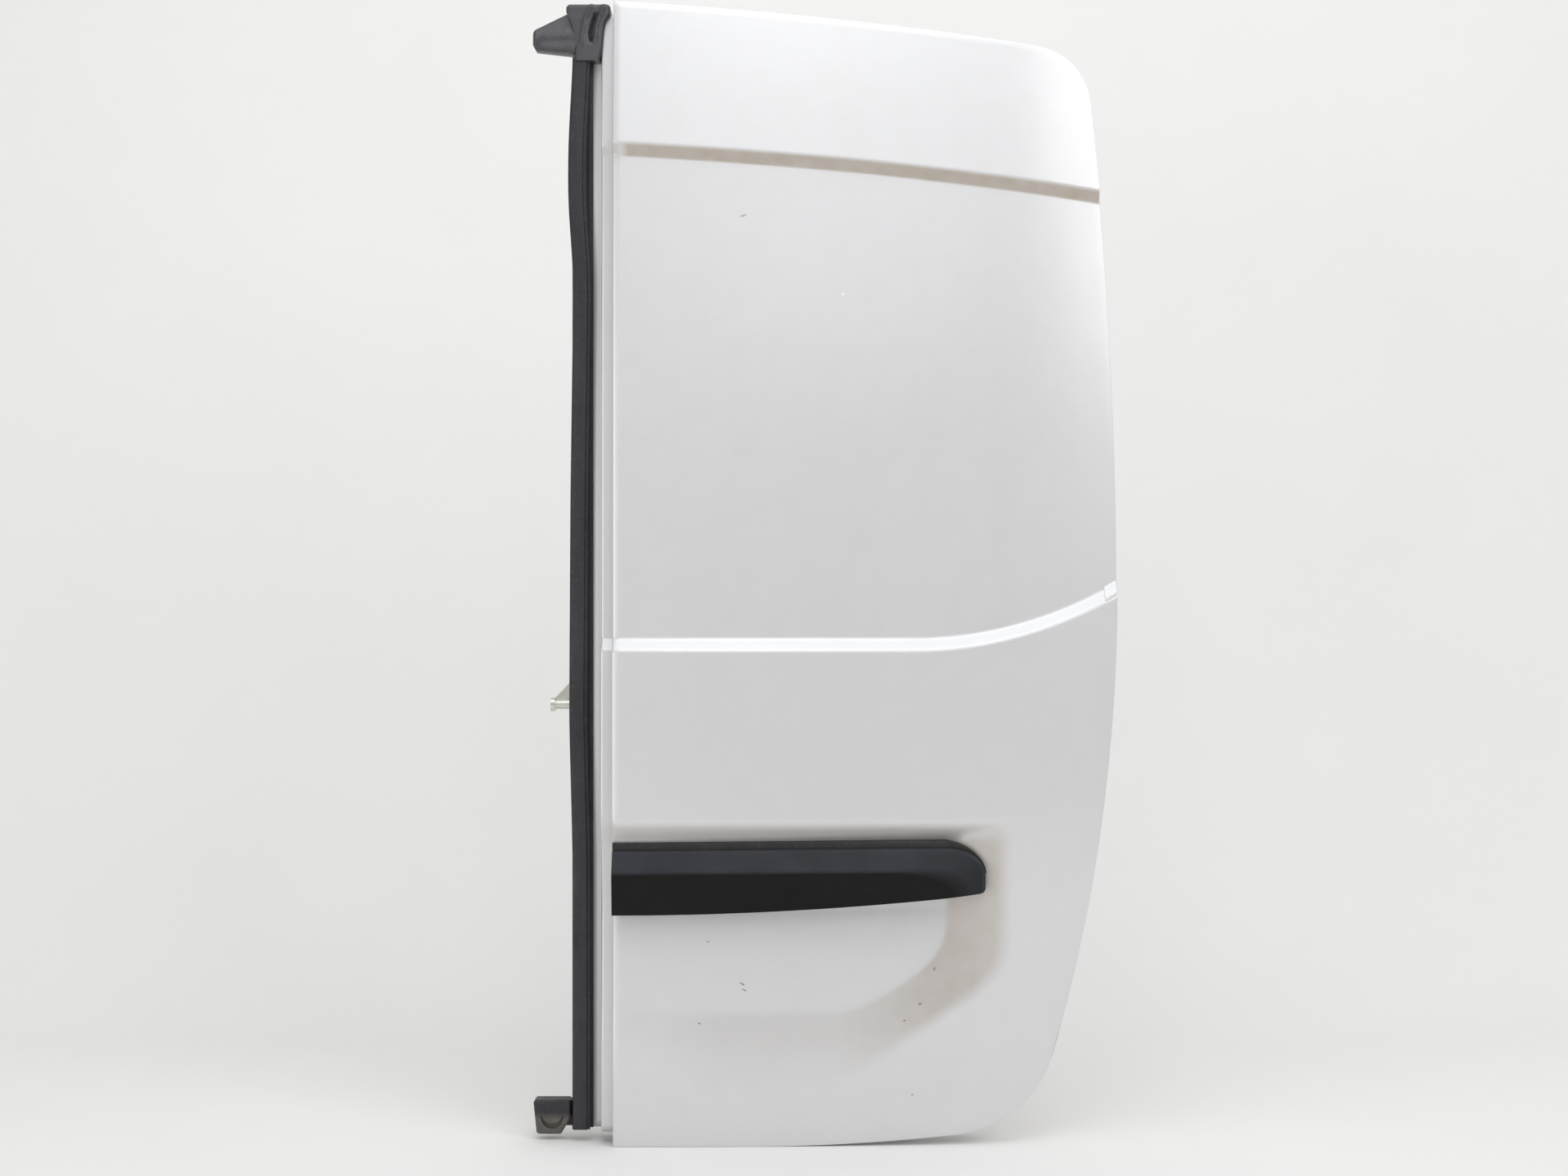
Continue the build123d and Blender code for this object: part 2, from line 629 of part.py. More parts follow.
def striker_plate():
    """Base plate bolted to the closing wall, with the gusset that braces the bar."""
    seat = -CLOSING_WALL - SHEET_GAP
    plate_top = STRIKER_HEIGHT + STRIKER_PLATE_HALF
    plate = block(
        (seat - STRIKER_PLATE, seat),
        (PINCH_Y + STRIKER_PLATE_EDGE, INNER_FACE),
        (STRIKER_HEIGHT - STRIKER_PLATE_HALF, plate_top),
    )
    reach = -STRIKER_REACH + STRIKER_HEAD
    outline = make_face(
        Polyline(
            (seat, plate_top),
            (seat, STRIKER_HEIGHT),
            (reach, STRIKER_HEIGHT),
            (reach, STRIKER_HEIGHT + STRIKER_HEAD_RADIUS),
            (seat - STRIKER_PLATE - STRIKER_GUSSET_TOP, plate_top),
            close=True,
        )
    )
    gusset = prism(outline, STRIKER_Y - STRIKER_GUSSET / 2, STRIKER_Y + STRIKER_GUSSET / 2)
    bore = striker_rod(0, -STRIKER_REACH, STRIKER_RADIUS + PIN_FIT)
    return plate + gusset - bore


def striker_bar():
    """Round bar with a flared end that the other leaf's lock grips."""
    root = -CLOSING_WALL - SHEET_GAP
    bar = striker_rod(root, -STRIKER_REACH, STRIKER_RADIUS)
    return bar + striker_rod(-STRIKER_REACH, -STRIKER_REACH + STRIKER_HEAD, STRIKER_HEAD_RADIUS)


def hinge_rod(low, high, radius):
    """Round bar along the hinge axis between two heights."""
    return rod((HINGE_X, HINGE_Y, low), (HINGE_X, HINGE_Y, high), radius)


def pin_bore(height):
    """Bore for the pin through all knuckles of one hinge."""
    return hinge_rod(height - HINGE_HALF, height + HINGE_HALF, PIN_RADIUS + PIN_FIT)


def hinge_door_leaf(height):
    """Leaf bolted in the pocket, with the two outer knuckles."""
    seat = HINGE_SEAT_X + SHEET_GAP
    leaf = block(
        (seat, seat + HINGE_PLATE),
        (DOOR_PLATE_FRONT, DOOR_PLATE_BACK),
        (height - HINGE_HALF, height + HINGE_HALF),
    )
    leaf = fillet(leaf.edges().filter_by(Axis.X), HINGE_CORNER)
    for side in (-1, 1):
        near = height + side * (KNUCKLE_HALF + KNUCKLE_GAP)
        far = height + side * KNUCKLE_END
        low, high = sorted((near, far))
        arm = block((seat, HINGE_X), (HINGE_Y - KNUCKLE_RADIUS, HINGE_Y + KNUCKLE_RADIUS), (low, high))
        leaf += arm + hinge_rod(low, high, KNUCKLE_RADIUS)
    return leaf - pin_bore(height)


def hinge_body_leaf(height):
    """Leaf bolted to the van's pillar, with the middle knuckle on an arm."""
    low = height - KNUCKLE_HALF
    high = height + KNUCKLE_HALF
    plate = block(
        (HINGE_X - MOUNT_WIDTH / 2, HINGE_X + MOUNT_WIDTH / 2),
        (MOUNT_Y - HINGE_PLATE, MOUNT_Y),
        (height - HINGE_HALF, height + HINGE_HALF),
    )
    plate = fillet(plate.edges().filter_by(Axis.Y), HINGE_CORNER)
    arm_x = (HINGE_X - HINGE_ARM_HALF, HINGE_X + HINGE_ARM_HALF)
    arm = block(arm_x, (HINGE_Y, MOUNT_Y - HINGE_PLATE), (low, high))
    leaf = plate + arm + hinge_rod(low, high, KNUCKLE_RADIUS) - pin_bore(height)
    for side in (-1, 1):
        centre = height + side * MOUNT_BOLT_SPACING / 2
        bolt_start = (HINGE_X, MOUNT_Y - 2 * HINGE_PLATE, centre)
        leaf -= rod(bolt_start, (HINGE_X, MOUNT_Y, centre), MOUNT_BOLT_RADIUS)
    return leaf


def hinge_pin(height):
    """Headed pin through one hinge."""
    top = height + KNUCKLE_END + KNUCKLE_GAP
    shank = hinge_rod(height - KNUCKLE_END - PIN_TAIL, top, PIN_RADIUS)
    return shank + hinge_rod(top, top + PIN_HEAD, PIN_HEAD_RADIUS)


def latch_plate(height):
    """Plate of a latch that holds the leaf to the van's frame."""
    half = LATCH_PLATE_SIZE / 2
    x_span = (LATCH_X - half, LATCH_X + half)
    outline = rectangle(x_span, (height - half, height + half), LATCH_PLATE_CORNER)
    return prism(outline, INNER_FACE, INNER_FACE + LATCH_PLATE)


def latch_case(height, side):
    """Latch case with a slot toward the nearer end of the leaf."""
    half = LATCH_CASE / 2
    front = INNER_FACE + LATCH_PLATE
    outline = rectangle((LATCH_X - half, LATCH_X + half), (height - half, height + half), LATCH_CASE_CORNER)
    case = prism(outline, front, front + LATCH_CASE_DEPTH)
    slot_ends = sorted((height, height + side * LATCH_CASE))
    slot = rectangle((LATCH_X - LATCH_SLOT / 2, LATCH_X + LATCH_SLOT / 2), slot_ends)
    return case - prism(slot, front + LATCH_PLATE, front + 2 * LATCH_CASE_DEPTH)


def release_frame():
    """Plastic surround of the pull that frees the two latches."""
    x_span = (RELEASE_X - RELEASE_WIDTH / 2, RELEASE_X + RELEASE_WIDTH / 2)
    z_span = (RELEASE_HEIGHT - RELEASE_LENGTH / 2, RELEASE_HEIGHT + RELEASE_LENGTH / 2)
    outer = rectangle(x_span, z_span, RELEASE_CORNER)
    return prism(outer - drawn_in(outer, RELEASE_FRAME), INNER_FACE, INNER_FACE + RELEASE_DEPTH)


def release_pull():
    """Pull in the middle of its surround."""
    half_x = RELEASE_WIDTH / 2 - RELEASE_FRAME - RELEASE_GAP
    half_z = RELEASE_LENGTH / 2 - RELEASE_FRAME - RELEASE_GAP
    x_span = (RELEASE_X - half_x, RELEASE_X + half_x)
    z_span = (RELEASE_HEIGHT - half_z, RELEASE_HEIGHT + half_z)
    outline = rectangle(x_span, z_span, RELEASE_CORNER - RELEASE_FRAME)
    return prism(outline, INNER_FACE, INNER_FACE + RELEASE_DEPTH + RELEASE_PULL_RISE)


def rubber_buffer(height):
    """Rubber stop that takes up rattle against the van's frame."""
    base = Plane(origin=(BUFFER_X, INNER_FACE, height), z_dir=(0, 1, 0))
    return extrude(base * Circle(BUFFER_RADIUS), amount=BUFFER_HEIGHT, taper=BUFFER_TAPER)


def panel_plug(place):
    """Blanking plug on the inner face, at a distance from the closing edge."""
    base = Plane(origin=(place, INNER_FACE, PLUG_HEIGHT), z_dir=(0, 1, 0))
    return extrude(base * Circle(PLUG_RADIUS), amount=PLUG_FLANGE, taper=PLUG_TAPER)


def skin_brace():
    """Hat-section brace across the upper opening, behind the skin."""
    low = UPPER_OPENING[0] - BRACE_LAP
    high = UPPER_OPENING[1] + BRACE_LAP
    back = INNER_FACE - INNER_SHEET - SHEET_GAP
    half = BRACE_WIDTH / 2
    web = block((BRACE_X - half, BRACE_X + half), (BRACE_FRONT, BRACE_FRONT + BRACE_SHEET), (low, high))
    brace = web
    for side in (-1, 1):
        edge = BRACE_X + side * half
        brace += block((edge, edge - side * BRACE_SHEET), (BRACE_FRONT, back), (low, high))
        brace += block((edge, edge + side * BRACE_FOOT), (back - BRACE_SHEET, back), (low, high))
    return brace


def pieces():
    """Every node of the part, by name."""
    top_latch = LEAF_HEIGHT - LATCH_INSET
    made = {
        "outer_skin": outer_skin(),
        "inner_panel": inner_panel(),
        "closing_channel": closing_channel(),
        "meeting_seal": meeting_seal(),
        "seal_top_cap": seal_top_cap(),
        "seal_bottom_cap": seal_bottom_cap(),
        "plate_garnish": plate_garnish(),
        "garnish_gasket": garnish_gasket(),
        "striker_plate": striker_plate(),
        "striker_bar": striker_bar(),
        "upper_latch_plate": latch_plate(top_latch),
        "lower_latch_plate": latch_plate(LATCH_INSET),
        "upper_latch_case": latch_case(top_latch, 1),
        "lower_latch_case": latch_case(LATCH_INSET, -1),
        "release_frame": release_frame(),
        "release_pull": release_pull(),
        "upper_buffer": rubber_buffer(LEAF_HEIGHT - TOP_DROP - BUFFER_INSET),
        "lower_buffer": rubber_buffer(BUFFER_INSET),
        "skin_brace": skin_brace(),
    }
    for name, place in PLUG_PLACES.items():
        made["plug_waist_" + name] = panel_plug(place)
    for name, height in HINGE_HEIGHTS.items():
        made[name + "_hinge_door_leaf"] = hinge_door_leaf(height)
        made[name + "_hinge_body_leaf"] = hinge_body_leaf(height)
        made[name + "_hinge_pin"] = hinge_pin(height)
    return made


os.makedirs("parts", exist_ok=True)
to_mount = Pos(-HINGE_X, -MOUNT_Y, -HINGE_HEIGHTS["lower"])
for node, shape in pieces().items():
    export_step(to_mount * shape, f"parts/{node}.step")
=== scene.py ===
"""Looks of the van's rear door leaf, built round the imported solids.

Leaf coordinates are those of the part's source, in millimetres: x from the skin's closing edge toward
the hinges, y from the outermost plane into the van, z up from the skin's lowest point.
"""

import math

import bpy
import numpy as np
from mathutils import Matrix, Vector


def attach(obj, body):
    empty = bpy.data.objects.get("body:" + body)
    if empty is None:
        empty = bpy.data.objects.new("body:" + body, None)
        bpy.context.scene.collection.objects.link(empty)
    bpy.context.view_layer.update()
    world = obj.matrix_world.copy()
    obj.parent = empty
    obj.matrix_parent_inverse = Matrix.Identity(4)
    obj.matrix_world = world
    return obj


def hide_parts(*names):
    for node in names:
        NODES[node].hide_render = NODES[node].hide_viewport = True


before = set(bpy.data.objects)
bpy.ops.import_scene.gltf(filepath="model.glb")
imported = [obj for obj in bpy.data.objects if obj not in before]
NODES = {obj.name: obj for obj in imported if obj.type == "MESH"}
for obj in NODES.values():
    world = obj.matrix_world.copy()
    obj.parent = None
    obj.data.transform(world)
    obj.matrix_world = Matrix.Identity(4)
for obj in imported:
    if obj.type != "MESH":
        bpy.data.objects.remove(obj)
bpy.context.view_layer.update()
ORIGIN = np.array((548.0, 112.0, 330.0))

# Skin outline, with its hinge-side corners before rounding as x and height
LEAF_HEIGHT = 1332.0
LEAF_WIDTH = 588.0
WIDEST_HEIGHT = 648.0
TOP_RIGHT = (552.0, 1275.0)
TOP_CROWN = 6.0
TOP_CORNER = 75.0
BOTTOM_FLAT = 160.0
LOW_RIGHT = (486.0, 22.0)
BOTTOM_CORNER = 130.0

# Skin form: the bow of the plan, and the profile as heights and depths
SKIN_SHEET = 0.9
HEM_WIDTH = 9.0
HEM_DEPTH = 3.3
PLAN_BOW = 15000.0
EDGE_BOW = 1800.0
EDGE_BOW_START = 440.0
FOOT_END = (-70.0, 18.0)
BULGE = (330.0, 0.0)
SHOULDER_HEIGHT = 582.0
SHOULDER_TURN = 350.0
SHOULDER_CLIMB = 64.0
SHOULDER_HALF = 7.0
SHOULDER_DEPTHS = (2.0, 13.0)
WAIST = (880.0, 16.0)
HEADER_HEIGHT = 1161.0
HEADER_FALL = 0.062
HEADER_SAG = 0.00006
HEADER_DROP = 3.4
HEADER_DROP_RUN = 300.0
HEADER_HALF = 6.0
HEADER_DEPTHS = (23.0, 14.0)
BROW = (1240.0, 21.0)
HEAD_END = (1402.0, 37.0)
CREASES_HALF = (69.0, 2.6, 2.0, 60.0, 1.6, 2.2, 60.0)

# Skin mesh: columns between the hems, rows between the creases, and the margin about each crease
SKIN_COLUMNS = 118
SKIN_ROWS = (140, 16, 66, 16, 32)
SHOULDER_MARGIN = 12.0
HEADER_MARGIN = 11.0

# Plate recess: each wall as where its floor edge lies and how far off its crest is
RECESS_TOP = (353.0, 22.0)
RECESS_RIGHT = (386.0, 72.0)
RECESS_BOTTOM = (155.0, 95.0)
RECESS_SWEEP = (30.0, 59.0)
SWEEP_FACING = (0.5566, -0.8308)
SWEEP_BLEND = 0.6
BOTTOM_BLEND = 0.35
TOP_BLEND = 0.2
FLOOR_BEND = 0.06
CREST_BEND = 0.2
RECESS_RIM_BEND = 3.0

# The recess floor's depth with its gain along x and z, and the heights between which it loses a share
RECESS_FLOOR = (9.2, 0.025, 0.0469)
RECESS_SHALLOWER = (275.0, 350.0, 0.5)

# Plate garnish and its gasket, with the curve at its hinge end as length and height
GARNISH_LENGTH = 431.0
GARNISH_TOP = 344.0
GARNISH_RISE = 4.0
GARNISH_FOOT = 271.0
GARNISH_FOOT_RISE = 25.0
GARNISH_END = (46.0, 32.0)
GARNISH_TOE = 6.0
GARNISH_NOSE_Y = -10.0
GARNISH_RIM_Y = 4.0
UPPER_FACET = 26.0
END_FACET = 49.0
END_ROUND = 30.0
LOWER_SLOPE = 0.125
GARNISH_RIM_ROUND = 2.4
GARNISH_END_TURN = 86.0
GARNISH_GAP = 0.3
GARNISH_STEPS = (40, 26)
LOWER_SHARES = np.linspace(0.0, 1.0, 17)
UPPER_SHARES = np.concatenate((np.linspace(0.0, 0.9, 11)[1:], (0.93, 0.955, 0.98, 1.0)))
CREASE_SHARE = 0.36
CREASE_BLENDS = (1.2, 7.0)
CREASE_SOFTENS = (110.0, 40.0)
GASKET_FRONT = 9.0
GASKET_GAP = 0.2
GASKET_WIDTHS = (9.0, 8.5, 1.5)
GASKET_SECTION = ((0.0, 0.0), (0.8, 0.0), (0.94, 0.08), (1.0, 0.25), (1.0, 1.0), (0.0, 1.0))

# Rabbet at the closing edge, with finer steps over two stretches of its height
RABBET_DEPTH = 18.0
RABBET_REACH = 15.0
RABBET_TUCK = 13.0
PINCH_Y = 58.0
PINCH_REACH = 46.0
BEND_RADIUS = 3.0
CHANNEL_ENDS = (14.0, 1318.0)
SHOULDER_STRETCH = (560.0, 610.0)
HEADER_STRETCH = (1140.0, 1185.0)
COARSE_STEP = 10.0
FINE_STEP = 2.0

# Meeting seal: its section's sizes and corner radii, and how far it wanders sideways at some heights
SEAL_OVERHANG = 5.0
SEAL_WIDTH = 21.0
SEAL_HEIGHT = 17.0
SEAL_GAP = 0.3
SEAL_STEP = 3.5
SEAL_LIP = 3.0
SEAL_TOE = 4.0
SEAL_GRIP = 6.0
SEAL_RADII = (6.0, 1.2, 1.2, 1.5, 0.8, 0.5, 0.5, 0.3, 0.3, 0.3, 1.0, 3.0)
SEAL_FREE_DEPTH = 10.0
SEAL_ENDS = (14.0, 1270.0)
SEAL_SPACING = 5.0
SEAL_SMOOTHING = 10
SEAL_WANDER = (
    (14.0, 1.5),
    (334.0, 1.5),
    (493.0, -2.5),
    (757.0, -1.0),
    (1010.0, 2.5),
    (1105.0, -4.0),
    (1170.0, -3.5),
    (1270.0, 2.0),
)

# Moulded cap at the head of the seal, its outlines and ribs as height and place
CAP_ENDS = (1264.0, 1330.0)
CAP_FRONT = 38.5
CAP_BACK = 78.0
CAP_ROUND = 3.0
CAP_STEPS = (41, 46)
CAP_LEFT = (
    (1264.0, -46.0),
    (1284.0, -46.0),
    (1304.0, -50.0),
    (1321.0, -56.4),
    (1327.0, -56.4),
    (1330.0, -53.0),
)
CAP_RIGHT = (
    (1264.0, -17.5),
    (1277.0, -14.0),
    (1300.0, -12.0),
    (1310.0, -10.0),
    (1318.0, -4.5),
    (1328.0, -5.0),
    (1330.0, -8.0),
)
CAP_RIBS = (
    ((1278.0, -38.3), (1295.0, -37.0), (1313.0, -33.9), (1328.0, -26.5)),
    ((1286.0, -21.4), (1301.0, -20.8), (1313.0, -17.7), (1328.0, -12.5)),
)
RIB_START = 6.0
RIB_RISE = 2.6
RIB_HALF = 2.3

# Gap between the cap's ribs as height and place, and its ends as height and run
CAP_GROOVE = ((1287.0, -27.0), (1295.0, -28.2), (1305.0, -26.4), (1320.0, -21.5))
GROOVE_FROM = (1284.0, 4.0)
GROOVE_TO = (1323.0, 6.0)
GROOVE_DEPTH = 6.0
GROOVE_HALF = 1.9

# Tab of the cap, its edges as place and height
TAB_SPAN = (-96.0, -40.0)
TAB_LOW = ((-96.0, 1284.0), (-93.0, 1278.5), (-40.0, 1272.5))
TAB_HIGH = ((-96.0, 1299.0), (-94.0, 1303.0), (-57.0, 1323.0), (-40.0, 1328.0))
TAB_RIDGE = 1289.0
TAB_RIDGE_HALF = 14.0
TAB_RIDGE_DEPTH = 9.8
TAB_FRONT = 38.3
TAB_RAKE = 7.5
TAB_RAKE_RUN = 44.0
TAB_BACK = 66.0
TAB_ROUND = 2.5
TAB_STEPS = (33, 27)

# Bolt and screw heads, each ring as radius, height and whether it is six-sided
HEAD_SIDES = 24
HINGE_BOLT = (
    (6.5, 0.0, False),
    (6.5, 1.0, False),
    (5.6, 1.6, False),
    (5.5, 1.6, True),
    (5.5, 5.0, True),
    (4.6, 5.6, False),
)
PLATE_SCREW = (
    (4.0, 0.0, False),
    (4.0, 1.0, False),
    (3.6, 1.9, False),
    (2.6, 2.4, False),
    (1.7, 2.4, True),
    (1.7, 0.9, True),
)
SMALL_SCALE = 0.62
SMALL_SCREW = tuple((SMALL_SCALE * radius, SMALL_SCALE * height, six) for radius, height, six in PLATE_SCREW)

# Where the heads sit
HINGE_LEAF_FACE = (531.3, 65.0)
HINGE_HEIGHTS = (330.0, 1000.0)
HINGE_BOLT_HALF = 35.0
STRIKER_SCREWS = ((-31.3, 73.5, 481.0), (-31.3, 78.5, 537.0))
LATCH_CENTRES = ((66.0, 62.0), (66.0, 1270.0))
LATCH_FACE = 87.0
LATCH_SCREW_HALF = 27.5
RELEASE_FACE = (20.0, 92.0)
RELEASE_HEIGHT = 602.0
RELEASE_SCREW_HALF = 54.5

# Bead of seam sealer: its radius, the swell and pace of its waves, and how deep it sits in the hem
SEALER_SIDES = 8
SEALER_RADIUS = 1.5
SEALER_WAVES = ((0.2, 0.9), (0.15, 2.3))
SEALER_SUNK = 0.6

# Colours and marks, each mark as place, length, width, turn and colour
SILVER_DEEP = (0.65, 0.65, 0.66)
SILVER_LIGHT = (0.75, 0.75, 0.76)
DUST = (0.58, 0.54, 0.49)
# Tan of the grime-and-shade mask: painted shade under the header step and in the plate recess, and dust at
# the foot
GRIME_AND_SHADE = (0.42, 0.35, 0.275)
SPECK = (0.30, 0.27, 0.24)
FOOT_DUST = (0.125, 0.115, 0.098)
PLASTIC_DEEP = (0.0045, 0.0038, 0.0038)
PLASTIC_WORN = (0.008, 0.0072, 0.0072)
# Bluish painted reflection on the garnish's faces that turn up or toward the hinges
PLASTIC_PAINTED_SHEEN = (0.034, 0.036, 0.045)
PLASTIC_SCUFF = (0.05, 0.05, 0.055)
ZINC_YELLOW = (0.66, 0.635, 0.53)
ZINC_WHITE = (0.68, 0.69, 0.66)
ZINC_DULL = (0.30, 0.28, 0.22)
FLOOR_DEEP = (0.89, 0.885, 0.875)
FLOOR_LIGHT = (0.93, 0.925, 0.915)
MARKS = (
    (151.0, 1080.0, 9.0, 3.0, 20.0, (0.42, 0.41, 0.40)),
    (267.0, 989.0, 7.0, 4.0, 0.0, (0.80, 0.80, 0.80)),
    (150.0, 188.0, 9.0, 2.0, -35.0, SPECK),
    (152.0, 181.0, 7.0, 2.0, -20.0, SPECK),
    (373.0, 205.0, 5.0, 3.0, 60.0, SPECK),
    (356.0, 165.0, 5.0, 3.5, 25.0, SPECK),
    (338.0, 146.0, 4.0, 2.5, 10.0, SPECK),
    (100.0, 143.0, 3.0, 2.5, 0.0, SPECK),
    (110.0, 237.0, 5.0, 1.5, 15.0, SPECK),
    (347.0, 60.0, 3.0, 2.0, 0.0, SPECK),
)

# Rubber colours, each as deep, bloomed and dusty, and the heights between which dust lies on the foot cap
SEAL_COLOURS = ((0.014, 0.012, 0.016), (0.036, 0.032, 0.038), (0.09, 0.08, 0.078))
CAP_COLOURS = ((0.040, 0.039, 0.045), (0.085, 0.083, 0.090), (0.15, 0.14, 0.13))
# Gasket rubber darker than the seal's: partly its own black, partly painted shade of the gap over the garnish
GASKET_AND_SHADE_COLOURS = ((0.009, 0.008, 0.008), (0.020, 0.018, 0.018), (0.06, 0.05, 0.045))
SEAL_SHEEN = 0.42
CAP_SHEEN = 0.28
FOOT_DUST_LINE = (24.0, 33.0)

# Grime and painted shade: bands as half height and soft edge, runs as start and length, and how strong each
# is. The band under the header step, the spot at the closing edge and the recess walls are painted shade,
# tinted tan; the foot has dust.
STEP_SHADE_BAND = (8.0, 2.5)
STEP_SHADE_DROP = 1.0
STEP_SHADE_START = (12.0, 3.0)
STEP_SHADE_STRENGTH = 0.85
EDGE_SHADE_BAND = (11.0, 4.0)
EDGE_SHADE_DROP = 2.0
EDGE_SHADE_PLACE = (4.0, 4.0)
EDGE_SHADE_STRENGTH = 0.55
FOOT_GRIME = (30.0, 300.0)
FOOT_STRENGTH = 0.07
SUNK_FULL = 8.0
WALL_PLACES = (50.0, 120.0, 260.0, 370.0)
WALL_SHADE_STRENGTHS = (0.0, 0.14, 0.14, 0.55)
TOP_WALL_SHADE_STRENGTH = 0.3
TOP_WALL_RUN = 6.0
WALL_STARTS = 0.06
WALL_ENDS = (1.05, 0.25)

# Stage, in metres but for the middle of the view
FLOOR_LEVEL = -0.330
FLOOR_FRONT = -4.0
FLOOR_BACK = 0.5
FLOOR_RADIUS = 0.5
FLOOR_HALF_WIDTH = 6.0
BACKDROP_TOP = 4.0
WORLD_STRENGTH = 0.51
COOL_LIGHT = (0.94, 0.97, 1.0)
WARM_LIGHT = (1.0, 0.985, 0.96)
VIEW_CENTRE = (198.3, 0.0, 647.6)
CAMERA_DISTANCE = 2.6
SENSOR_WIDTH = 36.0
PHOTO_WIDTH = 1920
METRES_PER_PIXEL = 0.00094
VIEW_WIDTH = PHOTO_WIDTH * METRES_PER_PIXEL


def plan_depth(x):
    """Depth added by the leaf's plan curve."""
    return x ** 2 / PLAN_BOW + np.maximum(x - EDGE_BOW_START, 0.0) ** 2 / EDGE_BOW


def shoulder_line(x):
    """Height of the middle of the shoulder band."""
    run = np.maximum(x - SHOULDER_TURN, 0.0) / (LEAF_WIDTH - SHOULDER_TURN)
    return SHOULDER_HEIGHT + SHOULDER_CLIMB * run ** 2


def header_line(x):
    """Height of the middle of the step under the header."""
    drop = HEADER_DROP * np.clip(1.0 - x / HEADER_DROP_RUN, 0.0, 1.0)
    return HEADER_HEIGHT - drop - HEADER_FALL * x - HEADER_SAG * x * np.abs(x)


def soft_ramp(run, half):
    """Nought before the corner, the run after it, and a curve within half of it."""
    near = np.clip(run, -half, half)
    return np.where(run > half, run, (near + half) ** 2 / (4 * half))


def soft_max(first, second, blend):
    """The larger of two values, with the change from one to the other rounded."""
    overlap = np.maximum(blend - np.abs(first - second), 0.0)
    return np.maximum(first, second) + overlap ** 2 / (4 * blend)


def profile_depth(x, z):
    """Depth of the skin without the plate recess."""
    shoulder = shoulder_line(x)
    header = header_line(x)
    level = np.zeros_like(x)
    places = [
        (level + FOOT_END[0], FOOT_END[1]),
        (level + BULGE[0], BULGE[1]),
        (shoulder - SHOULDER_HALF, SHOULDER_DEPTHS[0]),
        (shoulder + SHOULDER_HALF, SHOULDER_DEPTHS[1]),
        (level + WAIST[0], WAIST[1]),
        (header - HEADER_HALF, HEADER_DEPTHS[0]),
        (header + HEADER_HALF, HEADER_DEPTHS[1]),
        (level + BROW[0], BROW[1]),
        (level + HEAD_END[0], HEAD_END[1]),
    ]
    slopes = [(b[1] - a[1]) / (b[0] - a[0]) for a, b in zip(places, places[1:])]
    depth = plan_depth(x) + places[0][1] + slopes[0] * (z - places[0][0])
    for place, before, after, half in zip(places[1:], slopes, slopes[1:], CREASES_HALF):
        depth = depth + (after - before) * soft_ramp(z - place[0], half)
    return depth


def recess_floor(x, z):
    """Depth of the tilted floor of the plate recess."""
    depth, along, up = RECESS_FLOOR
    return depth + along * x + up * z


def recess_wall(x, z):
    """Below nought on the recess's floor, nought at the floor's edge and one at the crest of its walls."""
    top = (z - RECESS_TOP[0]) / RECESS_TOP[1]
    right = (x - RECESS_RIGHT[0]) / RECESS_RIGHT[1]
    bottom = (RECESS_BOTTOM[0] - z) / RECESS_BOTTOM[1]
    sweep = (SWEEP_FACING[0] * x + SWEEP_FACING[1] * z - RECESS_SWEEP[0]) / RECESS_SWEEP[1]
    wall = soft_max(right, sweep, SWEEP_BLEND)
    wall = soft_max(wall, bottom, BOTTOM_BLEND)
    return soft_max(wall, top, TOP_BLEND)


def skin_depth(x, z):
    """Depth of the finished outer surface."""
    profile = profile_depth(x, z)
    start, end, share = RECESS_SHALLOWER
    lost = share * np.clip((z - start) / (end - start), 0.0, 1.0)
    sunk = soft_ramp(recess_floor(x, z) - profile, RECESS_RIM_BEND) * (1.0 - lost)
    wall = recess_wall(x, z)
    return profile + sunk * (1.0 - soft_ramp(wall, FLOOR_BEND) + soft_ramp(wall - 1.0, CREST_BEND))


def metres(points):
    """Leaf millimetres to the shared frame in metres."""
    return (np.asarray(points, float) - ORIGIN) / 1000.0


def add_piece(name, points, faces, material, body="door", sharp=None):
    """Mesh piece from leaf points, riding on a body."""
    mesh = bpy.data.meshes.new(name)
    mesh.from_pydata(metres(points).tolist(), [], faces)
    mesh.shade_smooth()
    if sharp is not None:
        mesh.set_sharp_from_angle(angle=math.radians(sharp))
    piece = bpy.data.objects.new(name, mesh)
    bpy.context.scene.collection.objects.link(piece)
    mesh.materials.append(material)
    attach(piece, body)
    return piece


def grid_faces(rows, columns, start=0, flip=False):
    """Quads of a grid of points numbered row by row."""
    faces = []
    for row in range(rows - 1):
        for column in range(columns - 1):
            a = start + row * columns + column
            quad = (a, a + 1, a + columns + 1, a + columns)
            faces.append(quad[::-1] if flip else quad)
    return faces


def strip_faces(first, second):
    """Quads between two closed loops of point numbers."""
    count = len(first)
    return [(first[i], first[(i + 1) % count], second[(i + 1) % count], second[i]) for i in range(count)]


def tube_faces(rings, count, capped=True):
    """Faces of a tube of rings of points, with its ends closed or open."""
    faces = []
    for ring in range(rings - 1):
        here = list(range(ring * count, ring * count + count))
        faces += strip_faces(here, [number + count for number in here])
    if capped:
        faces.append(tuple(range(count))[::-1])
        faces.append(tuple(range((rings - 1) * count, rings * count)))
    return faces


